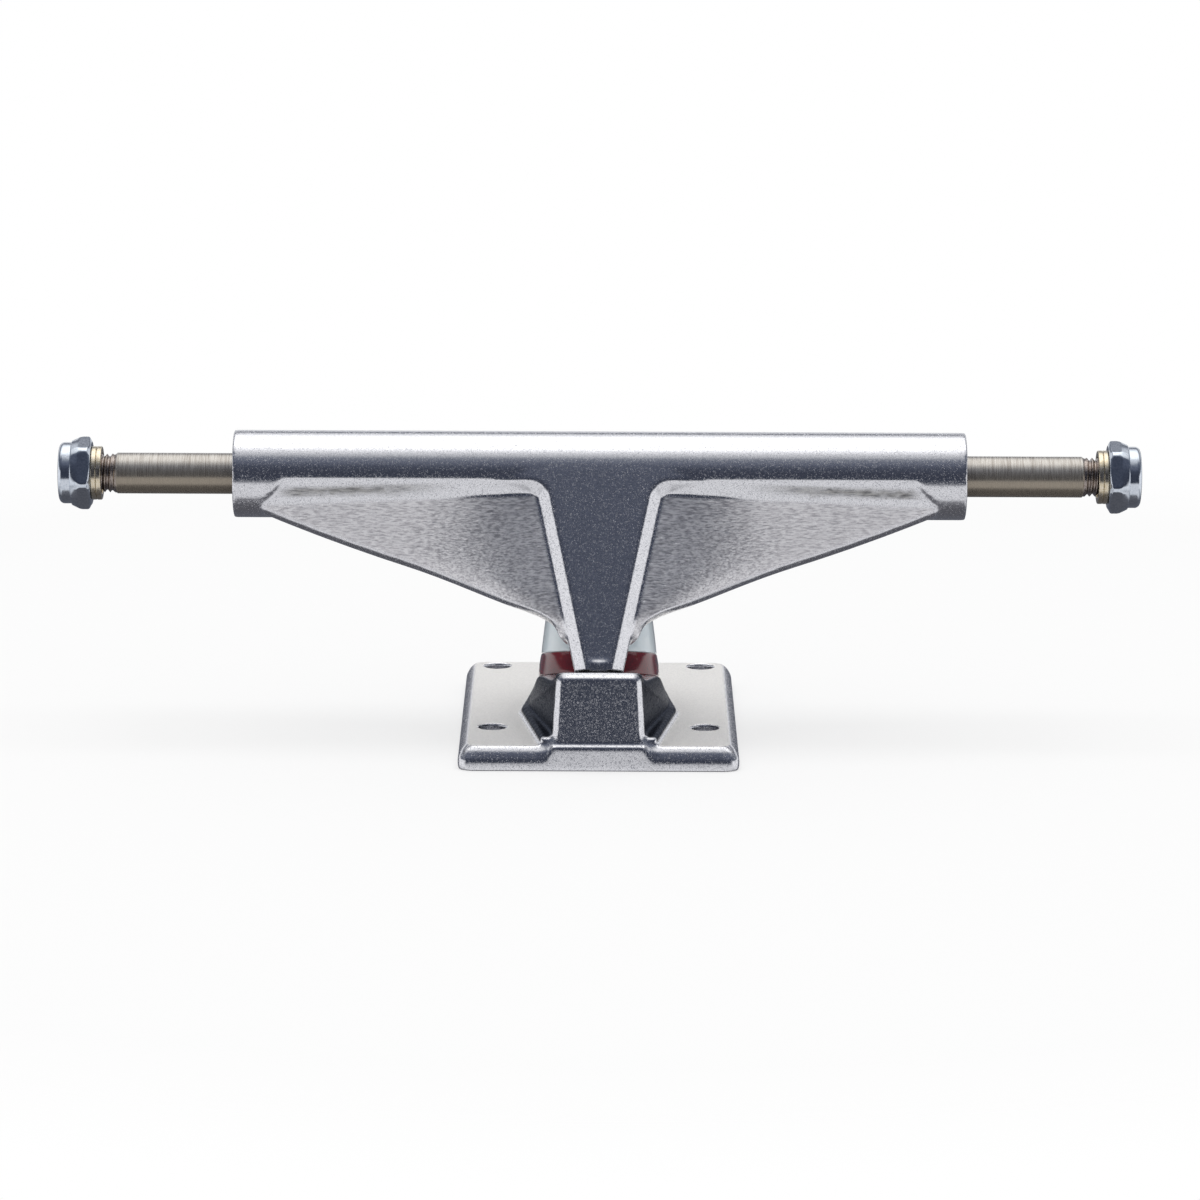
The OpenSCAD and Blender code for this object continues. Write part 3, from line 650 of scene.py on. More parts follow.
@dataclass
class Frame:
    """Where the truck's axes lie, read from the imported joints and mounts, in millimetres.

    Attributes:
        lean: The kingpin's lean from upright towards +Y, as an angle.
        axle: The middle of the axle.
        stack: The point on the kingpin's axis that its joint names.
    """

    lean: float = 0.0
    axle: Vector = field(default_factory=Vector)
    stack: Vector = field(default_factory=Vector)

    def __post_init__(self) -> None:
        """Reads the kingpin's direction and place from its joint and the axle's from its mount."""
        joints = {joint["name"]: joint for joint in frame["record"]["behaviour"]["joints"]}
        turn = joints["king_nut_turn"]
        self.lean = math.atan2(turn["axis"][1], turn["axis"][2])
        self.stack = Vector(turn["pos_m"]) / MM
        mounts = {mount["name"]: mount for mount in frame["record"]["mounts"]}
        self.axle = Vector((0.0, *mounts["left_axle"]["pos_m"][1:])) / MM

    def kingpin(self) -> Matrix:
        """Gives the matrix that stands a turned piece on the kingpin's axis, from its joint's point."""
        return Matrix.Translation(self.stack) @ Matrix.Rotation(-self.lean, 4, "X")

    def along_axle(self, side: Side) -> Matrix:
        """Gives the matrix that lays a turned piece on the axle, its Z pointing outwards."""
        turned = Matrix.Rotation(side.value * math.pi / 2, 4, "Y")
        return Matrix.Translation((0.0, self.axle.y, self.axle.z)) @ turned

    def points(self, node: str, place: Matrix) -> list[Point]:
        """Lists a turned node's vertices.

        Args:
            node: The CAD node.
            place: The matrix of the axis that it is turned about.

        Returns:
            Their (radius, height) about that axis, lowest first.
        """
        inverse = place.inverted()
        found = []
        for vert in frame["nodes"][node].data.vertices:
            at = inverse @ (vert.co / MM)
            found.append((round(math.hypot(at.x, at.y), 3), round(at.z, 3)))
        return sorted(found, key=lambda point: point[1])

    def span(self, node: str, place: Matrix) -> "Span":
        """Measures a turned node: where it starts and ends and how wide it is there.

        Args:
            node: The CAD node.
            place: The matrix of the axis that it is turned about.

        Returns:
            Its measured sizes.
        """
        points = self.points(node, place)
        low, high = points[0][1], points[-1][1]
        foot = [r for r, z in points if z < low + AT_FACE]
        top = [r for r, z in points if z > high - AT_FACE]
        return Span(low, high, min(r for r, _ in points), max(foot), max(top), max(r for r, _ in points))


@dataclass(frozen=True)
class Span:
    """A turned node's sizes: its ends' heights, then its smallest radius, its ends' radii and its largest."""

    low: float
    high: float
    bore: float
    foot: float
    top: float
    widest: float


FRAME = Frame()
HANGER_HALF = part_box("hanger")[1].x / MM
BASE_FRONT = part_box("baseplate")[0].y / MM


@dataclass
class Casting:
    """A polished casting, made from its CAD solid with every edge broken and every inner corner filleted.

    Attributes:
        node: The CAD node that it stands for.
        body: The CAD body that it moves with.
        finish: Its skins.
        voxel_mm: The grid that its skin is rebuilt on.
        passes: How often the whole skin is smoothed, which breaks its edges.
        kept_share: The share of the faces that is kept.
        relaxed: The mask of the faces that are smoothed further, or None.
        relax_passes: How often those are smoothed.
    """

    node: str
    body: str
    finish: Skins
    voxel_mm: float = 0.33
    passes: int = 5
    kept_share: float = 0.5
    relaxed: Mask | None = None
    relax_passes: int = 300

    def skin(self) -> bmesh.types.BMesh:
        """Copies the node, rebuilds its skin as an even grid and smooths it.

        Returns:
            The casting's skin, in millimetres.
        """
        bm = bmesh.new()
        bm.from_mesh(frame["nodes"][self.node].data)
        bmesh.ops.remove_doubles(bm, verts=bm.verts, dist=1e-6)
        bmesh.ops.scale(bm, vec=(1 / MM,) * 3, verts=bm.verts)
        mesh = bpy.data.meshes.new(self.node + "_blank")
        bm.to_mesh(mesh)
        bm.free()
        blank = bpy.data.objects.new(self.node + "_blank", mesh)
        bpy.context.scene.collection.objects.link(blank)
        grid = blank.modifiers.new("skin", "REMESH")
        grid.mode = "VOXEL"
        grid.voxel_size = self.voxel_mm
        skin = bmesh.new()
        skin.from_object(blank, bpy.context.evaluated_depsgraph_get())
        bpy.data.objects.remove(blank)
        for _ in range(self.passes):
            bmesh.ops.smooth_vert(skin, verts=skin.verts, factor=0.5, use_axis_x=True, use_axis_y=True,
                                  use_axis_z=True)
        skin.normal_update()
        return skin

    def thinned(self, piece: bpy.types.Object) -> bpy.types.Object:
        """Smooths the faces under the relaxed mask further and takes out the vertices that it can spare.

        Args:
            piece: The casting with its masks.

        Returns:
            The same piece, with both modifiers applied.
        """
        if self.relaxed:
            relax = piece.modifiers.new("relax", "SMOOTH")
            relax.vertex_group = piece.vertex_groups.new(name=self.relaxed.value).name
            relax.iterations = self.relax_passes
        thin = piece.modifiers.new("thin", "DECIMATE")
        thin.ratio = self.kept_share
        mesh = bpy.data.meshes.new_from_object(piece.evaluated_get(bpy.context.evaluated_depsgraph_get()))
        piece.modifiers.clear()
        piece.data = mesh
        return piece

    def share(self, mask: Mask, place: Vector, normal: Vector) -> float:
        """Says how much of a mask a point has.

        Args:
            mask: The mask.
            place: The point, in millimetres.
            normal: The skin's direction there.

        Returns:
            The share, from 0 to 1.
        """
        raise NotImplementedError

    def build(self, name: str) -> bpy.types.Object:
        """Builds the casting and dresses it.

        Args:
            name: The piece's name.

        Returns:
            The piece.
        """
        skin = self.skin()
        for mask, _ in self.finish.layers:
            layer = skin.verts.layers.float.new(mask.value)
            for vert in skin.verts:
                vert[layer] = self.share(mask, vert.co, vert.normal)
        if self.relaxed:
            weights = skin.verts.layers.deform.verify()
            for vert in skin.verts:
                vert[weights][0] = self.share(self.relaxed, vert.co, vert.normal)
        piece = self.thinned(mesh_object(name, skin))
        return finish_piece(piece, self.body, (self.node,), (self.finish,))


@dataclass
class BasePlate(Casting):
    """The plate with its bolt holes, pivot housing and tower: a satin top, flanks in painted shade and
    polished walls.

    Attributes:
        plate_top_mm: The plate's top is below this height and the flanks are above it.
        top_fade_mm: How much height lies between the two.
        top_level: How far a face of the plate's top points up, where its satin begins and where it is full.
        ledge_mm: Above this height a level face is polished: the top of the housing and of the tower.
        ledge_fade_mm: How much height it takes.
        ledge_level: How far such a face points up.
        front_mm: How deep the housing's polished front wall is.
        front_fade_mm: How far it fades.
        flank_end_mm: The place along Y, under the seat, where the flanks end.
        flank_fade_mm: How far they fade.
    """

    node: str = "baseplate"
    body: str = "base"
    finish: Skins = FINISHES.plate
    kept_share: float = 0.6
    plate_top_mm: float = 5.2
    top_fade_mm: float = 0.3
    top_level: Point = (0.9, 0.98)
    ledge_mm: float = 7.4
    ledge_fade_mm: float = 0.4
    ledge_level: Point = (0.8, 0.92)
    front_mm: float = 2.6
    front_fade_mm: float = 0.5
    flank_end_mm: float = 0.0
    flank_fade_mm: float = 3.0

    def share(self, mask: Mask, place: Vector, normal: Vector) -> float:
        """Says how much of a mask a point has: the plate's satin top, or the flanks up to the seat.

        Args:
            mask: ROUGH for the top, the strip and flank mask for the flanks' painted shade.
            place: The point, in millimetres.
            normal: The skin's direction there.

        Returns:
            The share, from 0 to 1.
        """
        above = step(place.z, self.plate_top_mm, self.plate_top_mm + self.top_fade_mm)
        if mask is Mask.ROUGH:
            return step(normal.z, *self.top_level) * (1.0 - above)
        # The flanks, where a dark colour paints their shade.
        raised = step(place.z, self.ledge_mm, self.ledge_mm + self.ledge_fade_mm)
        front = BASE_FRONT + self.front_mm
        return (above * (1.0 - raised * step(normal.z, *self.ledge_level))
                * step(place.y, front, front + self.front_fade_mm)
                * (1.0 - step(place.y, self.flank_end_mm - self.flank_fade_mm, self.flank_end_mm)))


@dataclass
class Hanger(Casting):
    """The winged casting that holds the axle. Its pockets kept the mould's skin inside their polished rim.

    Attributes:
        facing: A face belongs to the wings' front where its direction along Y is below this.
        rim_turn: The direction along Z at which the polished lower rim begins.
        rim_fade: How far it fades.
        undercut_mm: How far below the axle's height the pockets begin, in the middle.
        undercut_fall: How much further for each millimetre to the side.
        undercut_fade_mm: How far they fade there.
        stem_foot_mm: Half the stem's width, with its bevel, at its foot.
        stem_top_mm: The same at the axle's height.
        stem_foot_z_mm: The height of its foot.
        stem_fade_mm: How far the pocket fades beside it.
        collar_mm: How wide the polished collar at each end is.
        collar_fade_mm: How far the pocket fades before it.
        skipped_mm: From where to where the belt skipped a strip, along X.
        skipped_fade_mm: How far that strip fades at its inner and its outer end.
        strip_rise_mm: How far above the pocket's edge its middle lies.
        strip_mm: Half its width, where it is full and where it ends.
        yoke_mm: Half the width of the back that stays sharp round the yoke.
        yoke_fade_mm: How far that fades.
        wing_top_mm: How far below the axle's height the wings' smoothed back begins.
        wing_fade_mm: How far it fades there.
        back_facing: How far a face of the back points back, where it begins to count and where it is full.
    """

    node: str = "hanger"
    body: str = "hanger_body"
    finish: Skins = FINISHES.hanger
    relaxed: Mask | None = Mask.RELAXED
    facing: float = -0.2
    rim_turn: float = -0.3
    rim_fade: float = 0.1
    undercut_mm: float = 2.1
    undercut_fall: float = 0.044
    undercut_fade_mm: float = 0.3
    stem_foot_mm: float = 4.9
    stem_top_mm: float = 12.8
    stem_foot_z_mm: float = 18.2
    stem_fade_mm: float = 0.6
    collar_mm: float = 6.4
    collar_fade_mm: float = 0.4
    skipped_mm: Point = (26.0, 63.0)
    skipped_fade_mm: Point = (20.0, 4.0)
    strip_rise_mm: float = 2.5
    strip_mm: Point = (0.5, 1.1)
    yoke_mm: float = 14.0
    yoke_fade_mm: float = 2.0
    wing_top_mm: float = 8.4
    wing_fade_mm: float = 1.0
    back_facing: Point = (0.1, 0.5)

    def undercut(self, x: float) -> float:
        """Gives the height at which the pocket begins, at a distance from the middle."""
        return FRAME.axle.z - (self.undercut_mm + self.undercut_fall * abs(x))

    def stem(self, z: float) -> float:
        """Gives half the stem's width, with its bevel, at a height."""
        rise = (z - self.stem_foot_z_mm) / (FRAME.axle.z - self.stem_foot_z_mm)
        return self.stem_foot_mm + (self.stem_top_mm - self.stem_foot_mm) * rise

    def pocket(self, place: Vector, normal: Vector) -> float:
        """Says how much a point of the front lies in a pocket: between stem, rim, undercut and collar.

        Args:
            place: The point, in millimetres.
            normal: The skin's direction there.

        Returns:
            The share, from 0 to 1.
        """
        low, end, stem = self.undercut(place.x), HANGER_HALF - self.collar_mm, self.stem(place.z)
        return (step(normal.z, self.rim_turn - self.rim_fade, self.rim_turn + self.rim_fade)
                * (1.0 - step(place.z, low - self.undercut_fade_mm, low + self.undercut_fade_mm))
                * step(abs(place.x), stem, stem + self.stem_fade_mm)
                * (1.0 - step(abs(place.x), end - self.collar_fade_mm, end + self.collar_fade_mm)))

    def strip(self, place: Vector) -> float:
        """Says how much a point of the front lies in the strip that the belt skipped.

        Args:
            place: The point, in millimetres.

        Returns:
            The share, from 0 to 1.
        """
        inner, outer = self.skipped_mm
        inner_fade, outer_fade = self.skipped_fade_mm
        off = abs(place.z - self.undercut(place.x) - self.strip_rise_mm)
        return (step(abs(place.x), inner, inner + inner_fade)
                * (1.0 - step(abs(place.x), outer - outer_fade, outer))
                * (1.0 - step(off, *self.strip_mm)))

    def wing_back(self, place: Vector, normal: Vector) -> float:
        """Says how much a point lies on a wing's back, outside the yoke and below the tube.

        Args:
            place: The point, in millimetres.
            normal: The skin's direction there.

        Returns:
            The share, from 0 to 1.
        """
        top = FRAME.axle.z - self.wing_top_mm
        return (step(normal.y, *self.back_facing)
                * step(abs(place.x), self.yoke_mm, self.yoke_mm + self.yoke_fade_mm)
                * (1.0 - step(place.z, top, top + self.wing_fade_mm)))

    def share(self, mask: Mask, place: Vector, normal: Vector) -> float:
        """Says how much of a mask a point has.

        Args:
            mask: ROUGH for the pockets, the strip and flank mask for the skipped strip, RELAXED for pockets
                and backs.
            place: The point, in millimetres.
            normal: The skin's direction there.

        Returns:
            The share, from 0 to 1.
        """
        if place.y > FRAME.axle.y or normal.y > self.facing:
            return self.wing_back(place, normal) if mask is Mask.RELAXED else 0.0
        return self.strip(place) if mask is Mask.STRIP_AND_FLANK_SHADE else self.pocket(place, normal)


@dataclass
class Bushing:
    """One cast bushing, crowned a little where it bulges.

    Attributes:
        name: The piece's name.
        node: The CAD node that it stands for.
        slot: The record's material slot; not used.
        finish: Its finish.
        hangs: Whether it hangs under the cup washer, or is a zone of the lower stack on the seat; not used.
        stack: The nodes of that stack; not used.
        edge_mm: How much its outer edges are rounded.
        mouth_mm: How much its bore's edges are rounded.
        crown_mm: How far it bulges.
        wall_mm: What lies this far outside the bore bulges.
        ring_mm: The longest step between its rings.
    """

    name: str
    node: str
    slot: str
    finish: Polymer
    hangs: bool = False
    stack: tuple[str, str] = ("lower_bushing", "lower_bushing_cap")
    edge_mm: float = 0.25
    mouth_mm: float = 0.3
    crown_mm: float = 0.1
    wall_mm: float = 2.0
    ring_mm: float = 0.8

    def build(self) -> None:
        """Turns the bushing, crowns it and leaves it in place, riding on no body."""
        place = FRAME.kingpin()
        size = FRAME.span(self.node, place)
        outline = rounded([(size.bore, size.low, self.mouth_mm), (size.foot, size.low, self.edge_mm),
                           (size.top, size.high, self.edge_mm), (size.bore, size.high, self.mouth_mm)])
        blank = lathe(subdivide_outline(outline, self.ring_mm))
        tall = size.high - size.low

        def crown(radius: float, _turn: float, height: float) -> float:
            """Gives the bulged radius at a place on the blank."""
            share = (height - size.low) / tall
            bulge = self.crown_mm * 4 * share * (1 - share)
            return radius + (bulge if radius > size.bore + self.wall_mm else 0.0)

        piece = mesh_object(self.name, radial(blank, crown), place)
        finish_piece(piece, None, (self.node,), (self.finish,))
        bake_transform(piece)


@dataclass
class Kingpin:
    """The kingpin: a black bolt with a rolled thread, its head let into the plate.

    Attributes:
        head_flats_mm: The hexagon head's width across its flats.
        head_bevel_mm: The bevel on the head's corners.
        thread_mm: The thread's length.
        depth_mm: How deep its roots are.
        chamfer_mm: The chamfer at its end.
        neck_mm: The roundings at the head's neck, and the step from the shank to the thread.
        edge_mm: The roundings at the head's foot.
    """

    head_flats_mm: float = 14.2
    head_bevel_mm: float = 0.8
    thread_mm: float = 17.0
    depth_mm: float = 0.55
    chamfer_mm: float = 0.9
    neck_mm: float = 0.2
    edge_mm: float = 0.3

    def build(self) -> None:
        """Turns the bolt, cuts its head to a hexagon and rolls its thread."""
        place = FRAME.kingpin()
        size = FRAME.span("kingpin", place)
        points = FRAME.points("kingpin", place)
        flats = self.head_flats_mm / 2
        corner = flats / math.cos(math.pi / 6)
        head_top = max(z for r, z in points if r > flats - CLEAR)
        shank = max(r for r, z in points if z > head_top + CLEAR)
        start = size.high - self.thread_mm
        crest = max(r for r, z in points if z > start + PITCH)
        outline = rounded([(0, size.low, 0), (flats - self.neck_mm, size.low, self.edge_mm),
                           (corner, size.low + self.head_bevel_mm, self.edge_mm),
                           (corner, head_top, self.neck_mm), (shank, head_top, self.neck_mm)])
        outline.append((shank, start - self.neck_mm))
        outline += threaded_end(crest, start, self.thread_mm, self.chamfer_mm)
        cut = hexagon(self.head_flats_mm)
        roll = thread(crest, self.depth_mm, start, size.high - RUNOUT)

        def shape(radius: float, turn: float, height: float) -> float:
            """Cuts the head and rolls the rest."""
            return (cut if height <= head_top + AT_FACE else roll)(radius, turn, height)

        piece = mesh_object("kingpin_bolt", radial(lathe(outline), shape), place)
        finish_piece(piece, "base", ("kingpin",), (FINISHES.black,))


@dataclass
class Ring:
    """A turned flat ring: a washer or a locking ring.

    Attributes:
        name: The piece's name.
        node: The CAD node that it stands for.
        body: The CAD body that it moves with.
        slot: The record's material slot; not used.
        finish: Its finish.
        side: The end of the axle that it sits on, or None on the kingpin.
        edge_mm: How much its outer edges are rounded.
        edge_share: The most that they may take of its thickness.
    """

    name: str
    node: str
    body: str
    slot: str
    finish: Metal | Polymer
    side: Side | None = None
    edge_mm: float = 0.2
    edge_share: float = 0.45

    def corners(self, size: Span) -> list[Corner]:
        """Gives the outline's corners.

        Args:
            size: The node's measured sizes.

        Returns:
            (radius, height, rounding) for each corner, in order.
        """
        edge = min(self.edge_mm, (size.high - size.low) * self.edge_share)
        return [(size.bore, size.low, edge / 2), (size.widest, size.low, edge),
                (size.widest, size.high, edge), (size.bore, size.high, edge / 2)]

    def build(self) -> None:
        """Turns the ring with rounded edges."""
        place = FRAME.kingpin() if self.side is None else FRAME.along_axle(self.side)
        corners = self.corners(FRAME.span(self.node, place))
        piece = mesh_object(self.name, lathe(rounded(corners)), place)
        finish_piece(piece, self.body, (self.node,), (self.finish,))


@dataclass
class CupWasher(Ring):
    """A pressed washer whose rim reaches down round the bushing.

    Attributes:
        cup_mm: How deep the cup is.
        wall_mm: How thick its rim is.
        slope_mm: How much wider the cup is at its mouth.
        shoulder_mm: How much its pressed shoulder is rounded.
        fillet_mm: How much the cup's inner corner is rounded.
        rim_mm: How much the rim's outer edge is rounded.
        mouth_mm: How much the bore's lower edge is rounded.
    """

    cup_mm: float = 1.6
    wall_mm: float = 0.8
    slope_mm: float = 0.5
    shoulder_mm: float = 0.9
    fillet_mm: float = 0.4
    rim_mm: float = 0.25
    mouth_mm: float = 0.15

    def corners(self, size: Span) -> list[Corner]:
        """Gives the outline's corners.

        Args:
            size: The node's measured sizes.

        Returns:
            (radius, height, rounding) for each corner, in order.
        """
        inner, disc = size.widest - self.wall_mm, size.low + self.cup_mm
        return [(size.bore, disc, self.mouth_mm), (inner - self.slope_mm, disc, self.fillet_mm),
                (inner, size.low, self.edge_mm), (size.widest, size.low, self.rim_mm),
                (size.widest, size.high, self.shoulder_mm), (size.bore, size.high, self.edge_mm)]


@dataclass
class LockNut:
    """A plated lock nut: a hexagon with domed corners under a rolled collar that holds the nylon ring.

    Attributes:
        name: The piece's name.
        node: The CAD node that it stands for.
        body: The CAD body that it moves with.
        flats_mm: The hexagon's width across its flats.
        hex_mm: How high the hexagon is, with its foot.
        collar_d_mm: The collar's diameter.
        side: The end of the axle that it sits on, or None on the kingpin.
        clock_deg: The angle by which its corners are turned.
        rest_mm: How far off its washer it rests, so that the two faces don't coincide.
        foot_mm: How high its chamfered foot is.
        foot_round_mm: How much the corners above the foot are rounded.
        dome_mm: How high the domed top of its corners is.
        dome_round_mm: How much that dome is rounded.
        collar_round_mm: How much the collar's rim is rolled over.
        worn_share: How much of their full reach the corners keep.
        recess_mm: How wide the seat of the nylon ring is, round the bore.
        lip_mm: How thick the rolled lip over that ring is, and how wide the bore's chamfer.
        inset_mm: How far the washer face lies within the flats, and the lip outside the bore.
        dome_end_mm: How much the dome's inner end is rounded.
        edge_mm: How much the lip's edge is rounded.
        crisp_mm: How much the washer face's and the collar's foot are rounded.
    """

    name: str
    node: str
    body: str
    flats_mm: float
    hex_mm: float
    collar_d_mm: float
    side: Side | None = None
    clock_deg: float = 0.0
    rest_mm: float = 0.01
    foot_mm: float = 0.55
    foot_round_mm: float = 0.4
    dome_mm: float = 1.8
    dome_round_mm: float = 2.0
    collar_round_mm: float = 1.0
    worn_share: float = 0.97
    recess_mm: float = 1.5
    lip_mm: float = 0.5
    inset_mm: float = 0.3
    dome_end_mm: float = 0.3
    edge_mm: float = 0.2
    crisp_mm: float = 0.1

    def build(self) -> None:
        """Turns the blank, a little under its corners, and cuts its hexagon."""
        place = FRAME.kingpin() if self.side is None else FRAME.along_axle(self.side)
        size = FRAME.span(self.node, place)
        flat, collar = self.flats_mm / 2, self.collar_d_mm / 2
        corner = flat / math.cos(math.pi / 6) * self.worn_share
        low, hex_top = size.low + self.rest_mm, size.low + self.hex_mm
        seat, lip = size.bore + self.recess_mm, size.bore + self.inset_mm
        under_lip = size.high - self.lip_mm
        outline = rounded([
            (size.bore + self.lip_mm, low, 0), (flat - self.inset_mm, low, self.crisp_mm),
            (corner, low + self.foot_mm, self.foot_round_mm),
            (corner, hex_top - self.dome_mm, self.dome_round_mm),
            (flat - self.crisp_mm, hex_top, self.dome_end_mm), (collar, hex_top, self.crisp_mm),
            (collar, size.high, self.collar_round_mm), (lip, size.high, self.edge_mm), (lip, under_lip, 0),
            (seat, under_lip, 0), (seat, hex_top, 0), (size.bore, hex_top, 0),
            (size.bore, low + self.lip_mm, 0)], steps=5)
        cut = hexagon(self.flats_mm, math.radians(self.clock_deg))
        piece = mesh_object(self.name, radial(lathe(outline, segments=192), cut), place)
        finish_piece(piece, self.body, (self.node,), (FINISHES.zinc,))


@dataclass
class Axle:
    """The ground axle, with a rolled thread at each end.

    Attributes:
        thread_mm: Each thread's length.
        depth_mm: How deep its roots are.
        chamfer_mm: The chamfer at each end.
        neck_mm: The step from the plain shaft to the thread.
        support_mm: How near to a step the plain shaft has one more ring, which keeps its shading straight.
    """

    thread_mm: float = 10.9
    depth_mm: float = 0.55
    chamfer_mm: float = 0.8
    neck_mm: float = 0.15
    support_mm: float = 0.1

    def build(self) -> None:
        """Turns both halves and rolls their threads."""
        place = FRAME.along_axle(Side.RIGHT)
        size = FRAME.span("axle", place)
        points = FRAME.points("axle", place)
        start = size.high - self.thread_mm
        neck = start - self.neck_mm
        plain = max(r for r, z in points if HANGER_HALF + CLEAR < z < start + AT_FACE)
        core = max(r for r, z in points if abs(z) < HANGER_HALF + AT_FACE)
        crest = max(r for r, z in points if z > start + PITCH)
        half = [(core, 0.0), (core, HANGER_HALF), (plain, HANGER_HALF),
                (plain, HANGER_HALF + self.support_mm), (plain, neck - self.support_mm), (plain, neck),
                *threaded_end(crest, start, self.thread_mm, self.chamfer_mm)]
        blank = lathe([(r, -z) for r, z in reversed(half)] + half[1:])
        roll = thread(crest, self.depth_mm, start, size.high - RUNOUT)

        def mirrored(radius: float, turn: float, height: float) -> float:
            """Rolls the grooves of both ends. They lean, but close on themselves behind."""
            return roll(radius, math.copysign(turn, height), abs(height))

        piece = mesh_object("axle_shaft", radial(blank, mirrored), place)
        for face in piece.data.polygons:
            face.material_index = int(abs(face.center.x) > start * MM)
        finish_piece(piece, "hanger_body", ("axle",), (FINISHES.ground, FINISHES.rolled))


